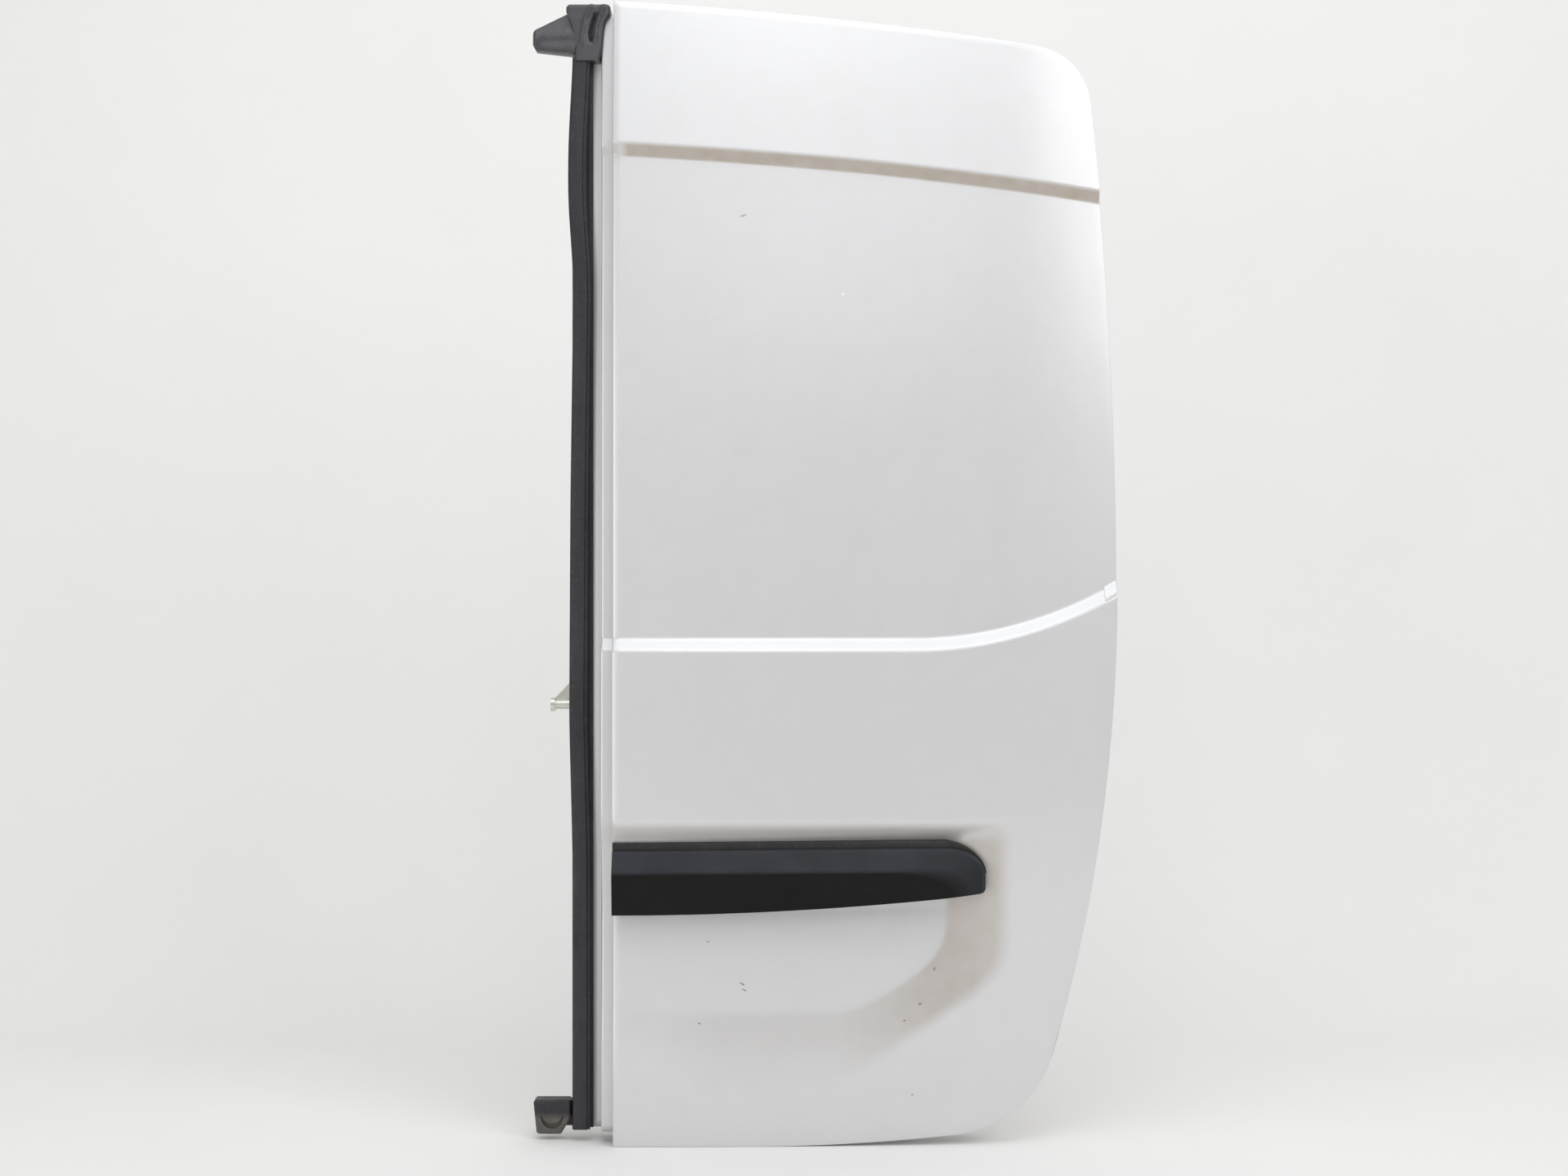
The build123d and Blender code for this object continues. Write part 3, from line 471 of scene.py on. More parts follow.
def meeting_of_circles(centre_a, radius_a, centre_b, radius_b):
    """Right-hand meeting point of two circles."""
    a = np.array(centre_a)
    b = np.array(centre_b)
    apart = np.linalg.norm(b - a)
    along = (apart ** 2 + radius_a ** 2 - radius_b ** 2) / (2 * apart)
    across = math.sqrt(radius_a ** 2 - along ** 2)
    axis = (b - a) / apart
    middle = a + along * axis
    side = across * np.array((-axis[1], axis[0]))
    return max((middle + side, middle - side), key=lambda point: point[0])


def arc(centre, radius, start, end, count):
    """Points of an arc between the directions of two points."""
    turn_a = math.atan2(start[1] - centre[1], start[0] - centre[0])
    turn_b = math.atan2(end[1] - centre[1], end[0] - centre[0])
    turns = np.linspace(turn_a, turn_b, count)
    return np.stack((centre[0] + radius * np.cos(turns), centre[1] + radius * np.sin(turns)), axis=1)


def spaced(points, shares):
    """Points at given shares of a path's length."""
    steps = np.linalg.norm(np.diff(points, axis=0), axis=1)
    run = np.concatenate(([0.0], np.cumsum(steps))) / steps.sum()
    return np.stack([np.interp(shares, run, points[:, axis]) for axis in range(2)], axis=1)


def outline_curves():
    """Foot and head of the skin as point paths ending on the hinge side, and the side's two arcs."""
    foot_radius = ((LOW_RIGHT[0] - BOTTOM_FLAT) ** 2 + LOW_RIGHT[1] ** 2) / (2 * LOW_RIGHT[1])
    foot_centre = (BOTTOM_FLAT, foot_radius)
    low_inset = LEAF_WIDTH - LOW_RIGHT[0]
    low_radius = (low_inset ** 2 + (WIDEST_HEIGHT - LOW_RIGHT[1]) ** 2) / (2 * low_inset)
    low_centre = (LEAF_WIDTH - low_radius, WIDEST_HEIGHT)
    high_inset = LEAF_WIDTH - TOP_RIGHT[0]
    high_radius = (high_inset ** 2 + (TOP_RIGHT[1] - WIDEST_HEIGHT) ** 2) / (2 * high_inset)
    high_centre = (LEAF_WIDTH - high_radius, WIDEST_HEIGHT)
    head_left = np.array((0.0, LEAF_HEIGHT))
    head_right = np.array(TOP_RIGHT)
    chord = head_right - head_left
    half_chord = np.linalg.norm(chord) / 2
    up = np.array((-chord[1], chord[0])) / (2 * half_chord)
    crown = TOP_CROWN * up[1]
    head_radius = (half_chord ** 2 + crown ** 2) / (2 * crown)
    head_centre = (head_left + head_right) / 2 + up * (crown - head_radius)

    low = meeting_of_circles(
        foot_centre, foot_radius - BOTTOM_CORNER, low_centre, low_radius - BOTTOM_CORNER,
    )
    foot_touch = low + BOTTOM_CORNER * (low - foot_centre) / np.linalg.norm(low - foot_centre)
    side_low = low + BOTTOM_CORNER * (low - low_centre) / np.linalg.norm(low - low_centre)
    high = meeting_of_circles(
        head_centre, head_radius - TOP_CORNER, high_centre, high_radius - TOP_CORNER,
    )
    head_touch = high + TOP_CORNER * (high - head_centre) / np.linalg.norm(high - head_centre)
    side_high = high + TOP_CORNER * (high - high_centre) / np.linalg.norm(high - high_centre)

    foot = np.concatenate((
        [(0.0, 0.0)],
        arc(foot_centre, foot_radius, (BOTTOM_FLAT, 0.0), foot_touch, 40),
        arc(low, BOTTOM_CORNER, foot_touch, side_low, 30)[1:],
    ))
    head = np.concatenate((
        arc(head_centre, head_radius, head_left, head_touch, 60),
        arc(high, TOP_CORNER, head_touch, side_high, 30)[1:],
    ))
    side_arcs = ((low_centre, low_radius), (high_centre, high_radius))
    return foot, head, side_arcs


def side_reach(z, side_arcs):
    """Where the hinge-side edge lies at a height."""
    low, high = side_arcs
    centre, radius = low if z < WIDEST_HEIGHT else high
    return centre[0] + math.sqrt(radius ** 2 - (z - WIDEST_HEIGHT) ** 2)


def skin_grid():
    """Front places (x, z) of the skin's points, in rows that follow the creases."""
    foot, head, side_arcs = outline_curves()
    hem = HEM_WIDTH / LEAF_WIDTH
    shares = np.concatenate(([0.0], np.linspace(hem, 1 - hem, SKIN_COLUMNS), [1.0]))
    foot = spaced(foot, shares)
    head = spaced(head, shares)

    def crease(line, shift):
        """A row along a crease, ending on the side of the outline."""
        reach = LEAF_WIDTH
        for _ in range(6):
            reach = side_reach(float(line(np.array(reach))) + shift, side_arcs)
        x = shares * reach
        return np.stack((x, line(x) + shift), axis=1)

    anchors = [
        foot,
        crease(shoulder_line, -SHOULDER_MARGIN),
        crease(shoulder_line, SHOULDER_MARGIN),
        crease(header_line, -HEADER_MARGIN),
        crease(header_line, HEADER_MARGIN),
        head,
    ]
    rows = [foot]
    for number, (low, high, count) in enumerate(zip(anchors, anchors[1:], SKIN_ROWS)):
        steps = list(np.linspace(0.0, 1.0, count + 1))[1:]
        if number == 0:
            steps = [HEM_WIDTH / (high[0, 1] - low[0, 1])] + steps[2:]
        if number == len(SKIN_ROWS) - 1:
            steps = steps[:-2] + [1 - HEM_WIDTH / (high[0, 1] - low[0, 1]), 1.0]
        for step in steps:
            row = low + (high - low) * step
            last = row[-1]
            if step < 1.0 or number < len(SKIN_ROWS) - 1:
                row[:, 0] += shares * (side_reach(last[1], side_arcs) - last[0])
            rows.append(row)
    return np.array(rows)


def border(rows, columns):
    """Point numbers round a grid's border, anticlockwise from the low closing corner."""
    low = list(range(columns))
    right = [row * columns + columns - 1 for row in range(1, rows)]
    high = [(rows - 1) * columns + column for column in range(columns - 2, -1, -1)]
    left = [row * columns for row in range(rows - 2, 0, -1)]
    return low + right + high + left


def skin_points():
    """Points and faces of the hemmed skin, with the places (x, z) of its outer face."""
    grid = skin_grid()
    rows, columns = grid.shape[:2]
    flat = grid.reshape(-1, 2)
    edge = border(rows, columns)
    loop = flat[edge]
    along = np.roll(loop, -1, axis=0) - np.roll(loop, 1, axis=0)
    outward = np.stack((along[:, 1], -along[:, 0]), axis=1)
    outward /= np.linalg.norm(outward, axis=1)[:, None]
    fold = HEM_DEPTH / 2
    flat[edge] = loop - outward * fold

    def at(places, deeper):
        """Points below the outer surface by a depth."""
        depth = skin_depth(places[:, 0], places[:, 1]) + deeper
        return np.stack((places[:, 0], depth, places[:, 1]), axis=1)

    points = [at(flat, 0.0)]
    faces = grid_faces(rows, columns)
    total = rows * columns
    previous = edge
    for turn in (45, 90, 135, 180):
        swing = math.radians(turn)
        ring = flat[edge] + outward * fold * math.sin(swing)
        places = at(flat[edge], fold * (1 - math.cos(swing)))
        places[:, 0] = ring[:, 0]
        places[:, 2] = ring[:, 1]
        points.append(places)
        numbers = list(range(total, total + len(edge)))
        faces += strip_faces(numbers, previous)
        previous = numbers
        total += len(edge)

    inner = grid[1:-1, 1:-1]
    inner_rows, inner_columns = inner.shape[:2]
    inner_flat = inner.reshape(-1, 2)
    inner_edge = border(inner_rows, inner_columns)
    hem_start = total
    points.append(at(inner_flat[inner_edge], HEM_DEPTH))
    hem_ring = list(range(hem_start, hem_start + len(inner_edge)))
    total += len(inner_edge)
    faces += hem_faces(previous, hem_ring, rows, columns)
    back_start = total
    points.append(at(inner_flat, SKIN_SHEET))
    back_ring = [back_start + number for number in inner_edge]
    faces += strip_faces(back_ring, hem_ring)
    faces += grid_faces(inner_rows, inner_columns, back_start, flip=True)
    return np.concatenate(points), faces, flat


def hem_faces(outer, inner, rows, columns):
    """Faces between the outer hem ring and the inner one, which has a point less beside each corner."""
    faces = []
    sides_outer = (columns - 1, rows - 1, columns - 1, rows - 1)
    start_outer = 0
    start_inner = 0
    for count in sides_outer:
        for step in range(count):
            a = outer[(start_outer + step) % len(outer)]
            b = outer[(start_outer + step + 1) % len(outer)]
            low = min(max(step - 1, 0), count - 2)
            high = min(max(step, 0), count - 2)
            c = inner[(start_inner + high) % len(inner)]
            d = inner[(start_inner + low) % len(inner)]
            faces.append((d, c, b, a) if c != d else (c, b, a))
        start_outer += count
        start_inner += count - 2
    return faces


def round_corner(before, corner, after, radius, steps):
    """Points of a curve across a corner, from one side to the other."""
    before, corner, after = (np.array(point, float) for point in (before, corner, after))
    start = corner + (before - corner) / np.linalg.norm(before - corner) * radius
    end = corner + (after - corner) / np.linalg.norm(after - corner) * radius
    curve = []
    for share in np.linspace(0.0, 1.0, steps + 1):
        curve.append((1 - share) ** 2 * start + 2 * share * (1 - share) * corner + share ** 2 * end)
    return curve


def rounded_path(corners, radius, steps=4):
    """Open path with its inner corners rounded."""
    path = [np.array(corners[0], float)]
    for before, corner, after in zip(corners, corners[1:], corners[2:]):
        path += round_corner(before, corner, after, radius, steps)
    path.append(np.array(corners[-1], float))
    return path


def rounded_loop(corners, radii, steps=5):
    """Closed loop with each corner rounded by its own radius."""
    loop = []
    count = len(corners)
    for number, radius in enumerate(radii):
        before, corner, after = (corners[(number + step) % count] for step in (-1, 0, 1))
        loop += round_corner(before, corner, after, radius, steps)
    return np.array(loop)


def channel_heights():
    """Heights of the rabbet's sections, closer together where the skin steps."""
    low, high = CHANNEL_ENDS
    stretches = (
        (low, SHOULDER_STRETCH[0], COARSE_STEP),
        (*SHOULDER_STRETCH, FINE_STEP),
        (SHOULDER_STRETCH[1], HEADER_STRETCH[0], COARSE_STEP),
        (*HEADER_STRETCH, FINE_STEP),
        (HEADER_STRETCH[1], high, COARSE_STEP),
    )
    return np.concatenate([np.arange(*stretch) for stretch in stretches] + [[high]])


def channel_piece(material):
    """Rabbet sheet from the hem to the pinch flange, with rounded bends."""
    heights = channel_heights()
    points = []
    for height in heights:
        land = float(skin_depth(np.array(0.0), np.array(height))) + RABBET_DEPTH
        corners = [
            (RABBET_TUCK, land - RABBET_DEPTH + HEM_DEPTH / 2),
            (RABBET_TUCK, land),
            (-RABBET_REACH, land),
            (-RABBET_REACH, PINCH_Y),
            (-PINCH_REACH, PINCH_Y),
        ]
        points += [(x, y, height) for x, y in rounded_path(corners, BEND_RADIUS)]
    columns = len(points) // len(heights)
    faces = grid_faces(len(heights), columns, flip=True)
    piece = add_piece("closing_rabbet", points, faces, material)
    thicken = piece.modifiers.new("sheet", "SOLIDIFY")
    thicken.thickness = SKIN_SHEET / 1000.0
    thicken.offset = -1.0
    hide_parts("closing_channel")


def seal_piece(material):
    """Meeting seal that wanders along its flange as an old seal does."""
    left = -PINCH_REACH - SEAL_OVERHANG
    right = left + SEAL_WIDTH
    foot = PINCH_Y - SEAL_GAP
    front = foot - SEAL_HEIGHT
    flange_edge = -PINCH_REACH - SEAL_GAP
    corners = [
        (left, front),
        (right - SEAL_STEP, front),
        (right - SEAL_STEP, front + SEAL_LIP),
        (right, front + SEAL_LIP),
        (right, foot - SEAL_LIP),
        (right + SEAL_TOE, foot - SEAL_LIP),
        (right + SEAL_TOE, foot),
        (flange_edge, foot),
        (flange_edge, foot + SEAL_LIP),
        (right - SEAL_TOE, foot + SEAL_LIP),
        (right - SEAL_TOE, foot + SEAL_GRIP),
        (left, foot + SEAL_GRIP),
    ]
    section = rounded_loop(corners, SEAL_RADII)
    heights = np.arange(SEAL_ENDS[0], SEAL_ENDS[1] + 1.0, SEAL_SPACING)
    wander = np.pad(path_at(heights, SEAL_WANDER), SEAL_SMOOTHING, mode="edge")
    window = np.hanning(2 * SEAL_SMOOTHING + 1)
    smooth = np.convolve(wander, window / window.sum(), mode="valid")
    free = np.clip((foot - section[:, 1]) / SEAL_FREE_DEPTH, 0.0, 1.0)
    points = []
    for height, shift in zip(heights, smooth):
        points += [(x + shift * share, y, height) for (x, y), share in zip(section, free)]
    faces = tube_faces(len(heights), len(section))
    piece = add_piece("bulb_seal", points, faces, material, sharp=50)
    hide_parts("meeting_seal")


def field_block(x, z, front, back):
    """Points and faces of a closed block between two depths over a grid of places."""
    rows, columns = x.shape
    sides = [np.stack((x.ravel(), depth.ravel(), z.ravel()), axis=1) for depth in (front, back)]
    faces = grid_faces(rows, columns)
    faces += grid_faces(rows, columns, x.size, flip=True)
    edge = border(rows, columns)
    faces += strip_faces([number + x.size for number in edge], edge)
    return np.concatenate(sides), faces


def path_at(value, path):
    """Second number of a path of pairs at a value of the first."""
    first, second = zip(*path)
    return np.interp(value, first, second)


def cap_body():
    """Points and faces of the cap's body, with two curved ribs and the gap between them."""
    across, up = CAP_STEPS
    shares = np.linspace(0.0, 1.0, across)
    z = np.repeat(np.linspace(*CAP_ENDS, up)[:, None], across, axis=1)
    left = path_at(z, CAP_LEFT)
    right = path_at(z, CAP_RIGHT)
    x = left + (right - left) * shares
    near = np.minimum(np.minimum(x - left, right - x), CAP_ENDS[1] - z)
    front = CAP_FRONT + np.maximum(CAP_ROUND - near, 0.0) ** 2 / CAP_ROUND
    for rib in CAP_RIBS:
        starts = np.clip((z - rib[0][0]) / RIB_START, 0.0, 1.0)
        front = front - RIB_RISE * starts * np.exp(-((x - path_at(z, rib)) / RIB_HALF) ** 2)
    opens = np.clip((z - GROOVE_FROM[0]) / GROOVE_FROM[1], 0.0, 1.0)
    opens = opens * np.clip((GROOVE_TO[0] - z) / GROOVE_TO[1], 0.0, 1.0)
    front = front + GROOVE_DEPTH * opens * np.exp(-((x - path_at(z, CAP_GROOVE)) / GROOVE_HALF) ** 2)
    return field_block(x, z, front, np.full_like(x, CAP_BACK))


def cap_tab():
    """Points and faces of the cap's wedge-shaped tab, ridged along its length."""
    across, up = TAB_STEPS
    shares = np.linspace(0.0, 1.0, up)
    x = np.repeat(np.linspace(*TAB_SPAN, across)[None, :], up, axis=0)
    low = path_at(x, TAB_LOW)
    high = path_at(x, TAB_HIGH)
    z = low + (high - low) * shares[:, None]
    rise = (z - TAB_RIDGE) / TAB_RIDGE_HALF
    near = np.minimum(np.minimum(x - TAB_SPAN[0], z - low), high - z)
    rake = TAB_RAKE * np.clip((-TAB_RAKE_RUN - x) / TAB_RAKE_RUN, 0.0, 1.0)
    ridge = TAB_RIDGE_DEPTH * (np.sqrt(1.0 + rise ** 2) - 1.0)
    front = TAB_FRONT + rake + ridge + np.maximum(TAB_ROUND - near, 0.0) ** 2 / TAB_ROUND
    return field_block(x, z, front, np.full_like(x, TAB_BACK))


def cap_piece(material):
    """Moulded cap at the head of the seal."""
    body_points, body_faces = cap_body()
    tab_points, tab_faces = cap_tab()
    start = len(body_points)
    faces = body_faces + [tuple(number + start for number in face) for face in tab_faces]
    points = np.concatenate((body_points, tab_points))
    piece = add_piece("cap_moulding", points, faces, material, sharp=50)
    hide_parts("seal_top_cap")


def garnish_columns():
    """Places along the garnish, closer together round its hinge end."""
    straight = GARNISH_LENGTH - GARNISH_END[0]
    along, round_end = GARNISH_STEPS
    bend = np.sin(np.linspace(0.0, math.radians(GARNISH_END_TURN), round_end))
    return np.concatenate((np.linspace(0.0, straight, along), straight + GARNISH_END[0] * bend[1:]))


def garnish_top(x):
    """Height of the garnish's upper edge, which turns down round the hinge end."""
    turn = np.clip((x - GARNISH_LENGTH + GARNISH_END[0]) / GARNISH_END[0], 0.0, 1.0)
    level = GARNISH_TOP + GARNISH_RISE * x / GARNISH_LENGTH
    return level - GARNISH_END[1] * (1.0 - np.sqrt(1.0 - turn ** 2))


def garnish_foot(x):
    """Height of the garnish's lower edge, which climbs to a small round toe."""
    turn = np.clip((x - GARNISH_LENGTH + GARNISH_TOE) / GARNISH_TOE, 0.0, 1.0)
    level = GARNISH_FOOT + GARNISH_FOOT_RISE * (x / GARNISH_LENGTH) ** 2
    return level + GARNISH_TOE * (1.0 - np.sqrt(1.0 - turn ** 2))


def garnish_face(x, z):
    """Depth of the garnish's face: a lower facet, and an upper one that turns round the hinge end."""
    below_top = GARNISH_TOP + GARNISH_RISE * x / GARNISH_LENGTH - z
    before_end = (GARNISH_LENGTH - x) * UPPER_FACET / END_FACET
    inset = -soft_max(-below_top, -before_end, END_ROUND)
    upper = GARNISH_RIM_Y - (GARNISH_RIM_Y - GARNISH_NOSE_Y) / UPPER_FACET * inset
    lower = GARNISH_NOSE_Y + LOWER_SLOPE * (GARNISH_TOP - UPPER_FACET - z)
    softens = [GARNISH_LENGTH - before for before in CREASE_SOFTENS]
    blend = np.interp(x, softens, CREASE_BLENDS)
    rim = np.maximum(GARNISH_RIM_ROUND - inset, 0.0) ** 2 / (2 * GARNISH_RIM_ROUND)
    return soft_max(upper, lower, blend) + rim


def garnish_piece(material):
    """Plate garnish with a soft crease, closed at its back against the recess."""
    x = garnish_columns()
    top = garnish_top(x)
    foot = garnish_foot(x)
    crease = top - np.minimum(UPPER_FACET, CREASE_SHARE * (top - foot))
    rows = [foot + (crease - foot) * share for share in LOWER_SHARES]
    rows += [crease + (top - crease) * share for share in UPPER_SHARES]
    grid_x = np.tile(x, (len(rows), 1))
    grid_z = np.array(rows)
    front = garnish_face(grid_x, grid_z)
    back = skin_depth(grid_x, grid_z) - GARNISH_GAP
    points, faces = field_block(grid_x, grid_z, front, back)
    piece = add_piece("plate_trim", points, faces, material, sharp=40)
    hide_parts("plate_garnish")


def gasket_piece(material):
    """Gasket strip over the garnish, tapering round its hinge end; its dark rubber and its run round the end
    are partly painted shade of the gap over the garnish.
    """
    x = garnish_columns()
    path = np.stack((x, garnish_top(x)), axis=1)
    along = np.gradient(path, axis=0)
    along /= np.linalg.norm(along, axis=1)[:, None]
    outward = np.stack((-along[:, 1], along[:, 0]), axis=1)
    width = np.interp(x, (0.0, GARNISH_LENGTH - GARNISH_END[0], GARNISH_LENGTH), GASKET_WIDTHS)
    rings = []
    for share, deep in GASKET_SECTION:
        place = path + outward * (width * share)[:, None]
        bed = skin_depth(place[:, 0], place[:, 1]) - GASKET_GAP
        depth = GASKET_FRONT + (bed - GASKET_FRONT) * deep
        rings.append(np.stack((place[:, 0], depth, place[:, 1]), axis=1))
    points = np.stack(rings, axis=1).reshape(-1, 3)
    faces = tube_faces(len(x), len(GASKET_SECTION))
    piece = add_piece("gasket_strip", points, faces, material, sharp=40)
    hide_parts("garnish_gasket")


def heads_piece(name, places, axis, profile, material):
    """Several bolt or screw heads as one piece, each turned from a profile round the axis it points along."""
    axis = np.array(axis, float)
    first = np.array((axis[2], axis[0], axis[1]))
    second = np.cross(axis, first)
    turns = np.linspace(0.0, 2 * math.pi, HEAD_SIDES, endpoint=False)
    hexagon = math.cos(math.pi / 6) / np.cos((turns + math.pi / 6) % (math.pi / 3) - math.pi / 6)
    points = []
    faces = []
    for place in places:
        below = None
        for radius, height, six_sided in profile:
            reach = radius * (hexagon if six_sided else np.ones_like(turns))
            ring = np.outer(reach * np.cos(turns), first) + np.outer(reach * np.sin(turns), second)
            numbers = list(range(len(points), len(points) + HEAD_SIDES))
            points += [tuple(point) for point in np.array(place) + axis * height + ring]
            if below:
                faces += strip_faces(below, numbers)
            below = numbers
        faces.append(tuple(below))
    add_piece(name, points, faces, material, sharp=35)


def add_heads(material):
    """Heads on the hinges' door leaves, the striker plate, the latch plates and the release surround."""
    hinge_places = []
    for height in HINGE_HEIGHTS:
        hinge_places += [(*HINGE_LEAF_FACE, height + side * HINGE_BOLT_HALF) for side in (-1, 1)]
    heads_piece("hinge_bolt_heads", hinge_places, (1, 0, 0), HINGE_BOLT, material)
    heads_piece("striker_screw_heads", STRIKER_SCREWS, (-1, 0, 0), PLATE_SCREW, material)
    latch_places = []
    for x, z in LATCH_CENTRES:
        for right in (-LATCH_SCREW_HALF, LATCH_SCREW_HALF):
            latch_places += [(x + right, LATCH_FACE, z + up) for up in (-LATCH_SCREW_HALF, LATCH_SCREW_HALF)]
    heads_piece("latch_screw_heads", latch_places, (0, 1, 0), PLATE_SCREW, material)
    release_places = [(*RELEASE_FACE, RELEASE_HEIGHT + side * RELEASE_SCREW_HALF) for side in (-1, 1)]
    heads_piece("release_screw_heads", release_places, (0, 1, 0), SMALL_SCREW, material)


def sealer_piece(material):
    """Bead of seam sealer along the edge of the hem on the inside, painted over."""
    grid = skin_grid()[1:-1, 1:-1]
    rows, columns = grid.shape[:2]
    path = grid.reshape(-1, 2)[border(rows, columns)][: 2 * columns + rows - 2]
    along = np.gradient(path, axis=0)
    along /= np.linalg.norm(along, axis=1)[:, None]
    inward = np.stack((-along[:, 1], along[:, 0]), axis=1)
    run = np.arange(len(path))
    thickness = np.full(len(path), SEALER_RADIUS)
    for swell, pace in SEALER_WAVES:
        thickness = thickness + swell * np.sin(run * pace)
    middle = path + inward
    depth = skin_depth(path[:, 0], path[:, 1]) + HEM_DEPTH - SEALER_SUNK
    turns = np.linspace(0.0, 2 * math.pi, SEALER_SIDES, endpoint=False)
    rings = []
    for turn in turns:
        place = middle + inward * (thickness * math.cos(turn))[:, None]
        rings.append(np.stack((place[:, 0], depth + thickness * math.sin(turn), place[:, 1]), axis=1))
    points = np.stack(rings, axis=1).reshape(-1, 3)
    faces = [face[::-1] for face in tube_faces(len(path), SEALER_SIDES, capped=False)]
    add_piece("hem_sealer", points, faces, material)


class Finish:
    """Procedural material under construction, laid out by place on the leaf in metres."""

    def __init__(self, name):
        self.material = bpy.data.materials.new(name)
        self.material.use_nodes = True
        self.tree = self.material.node_tree
        self.shader = self.tree.nodes["Principled BSDF"]
        self.place = self.add("ShaderNodeTexCoord").outputs["Object"]

    def feed(self, socket, value):
        """Link a socket or set its plain value."""
        if isinstance(value, bpy.types.NodeSocket):
            self.tree.links.new(value, socket)
        else:
            socket.default_value = value

    def add(self, kind, **inputs):
        """New node with some inputs fed."""
        made = self.tree.nodes.new(kind)
        for name, value in inputs.items():
            self.feed(made.inputs[name.replace("_", " ")], value)
        return made

    def set(self, **inputs):
        """Feed the surface's own inputs."""
        for name, value in inputs.items():
            self.feed(self.shader.inputs[name.replace("_", " ")], value)

    def noise(self, scale, detail=3.0, stretch=(1.0, 1.0, 1.0)):
        """Noise from nought to one, stretched along an axis where its factor is small."""
        place = self.add("ShaderNodeMapping", Vector=self.place, Scale=stretch).outputs["Vector"]
        return self.add("ShaderNodeTexNoise", Vector=place, Scale=scale, Detail=detail).outputs["Fac"]

    def flakes(self, scale):
        """Random value for each small cell."""
        cells = self.add("ShaderNodeTexVoronoi", Vector=self.place, Scale=scale)
        return self.add("ShaderNodeSeparateColor", Color=cells.outputs["Color"]).outputs["Red"]

    def facing(self, axis):
        """How far the surface faces along an axis of the leaf."""
        normal = self.add("ShaderNodeTexCoord").outputs["Normal"]
        return self.add("ShaderNodeSeparateXYZ", Vector=normal).outputs[axis]

    def spread(self, value, low, high, to_low=0.0, to_high=1.0):
        """Carry a range of a value over to another range."""
        made = self.add("ShaderNodeMapRange", Value=value, From_Min=low, From_Max=high)
        self.feed(made.inputs["To Min"], to_low)
        self.feed(made.inputs["To Max"], to_high)
        return made.outputs["Result"]

    def maths(self, operation, first, second):
        """Arithmetic on two values."""
        made = self.tree.nodes.new("ShaderNodeMath")
        made.operation = operation
        self.feed(made.inputs[0], first)
        self.feed(made.inputs[1], second)
        return made.outputs["Value"]

    def mix(self, share, first, second):
        """Colour between two colours."""
        made = self.tree.nodes.new("ShaderNodeMix")
        made.data_type = "RGBA"
        self.feed(made.inputs[0], share)
        for socket, colour in ((made.inputs[6], first), (made.inputs[7], second)):
            self.feed(socket, colour if isinstance(colour, bpy.types.NodeSocket) else (*colour, 1.0))
        return made.outputs[2]

    def bump(self, value, depth):
        """Relief of a given depth in metres, on top of any laid before."""
        made = self.add("ShaderNodeBump", Height=value, Distance=depth, Strength=1.0)
        if self.shader.inputs["Normal"].is_linked:
            self.feed(made.inputs["Normal"], self.shader.inputs["Normal"].links[0].from_socket)
        self.feed(self.shader.inputs["Normal"], made.outputs["Normal"])

    def spot(self, x, z, long, short, turn):
        """Share of a ragged small mark at a place on the leaf, in millimetres."""
        made = self.tree.nodes.new("ShaderNodeMapping")
        made.vector_type = "TEXTURE"
        self.feed(made.inputs["Vector"], self.place)
        centre = metres((x, 0.0, z))
        made.inputs["Location"].default_value = (centre[0], 0.0, centre[2])
        made.inputs["Rotation"].default_value = (0.0, math.radians(-turn), 0.0)
        made.inputs["Scale"].default_value = (long / 2000.0, 10.0, short / 2000.0)
        length = self.tree.nodes.new("ShaderNodeVectorMath")
        length.operation = "LENGTH"
        self.feed(length.inputs[0], made.outputs["Vector"])
        ragged = self.maths("ADD", length.outputs["Value"], self.noise(700.0, 2.0))
        return self.spread(ragged, 1.1, 1.5, 1.0, 0.0)


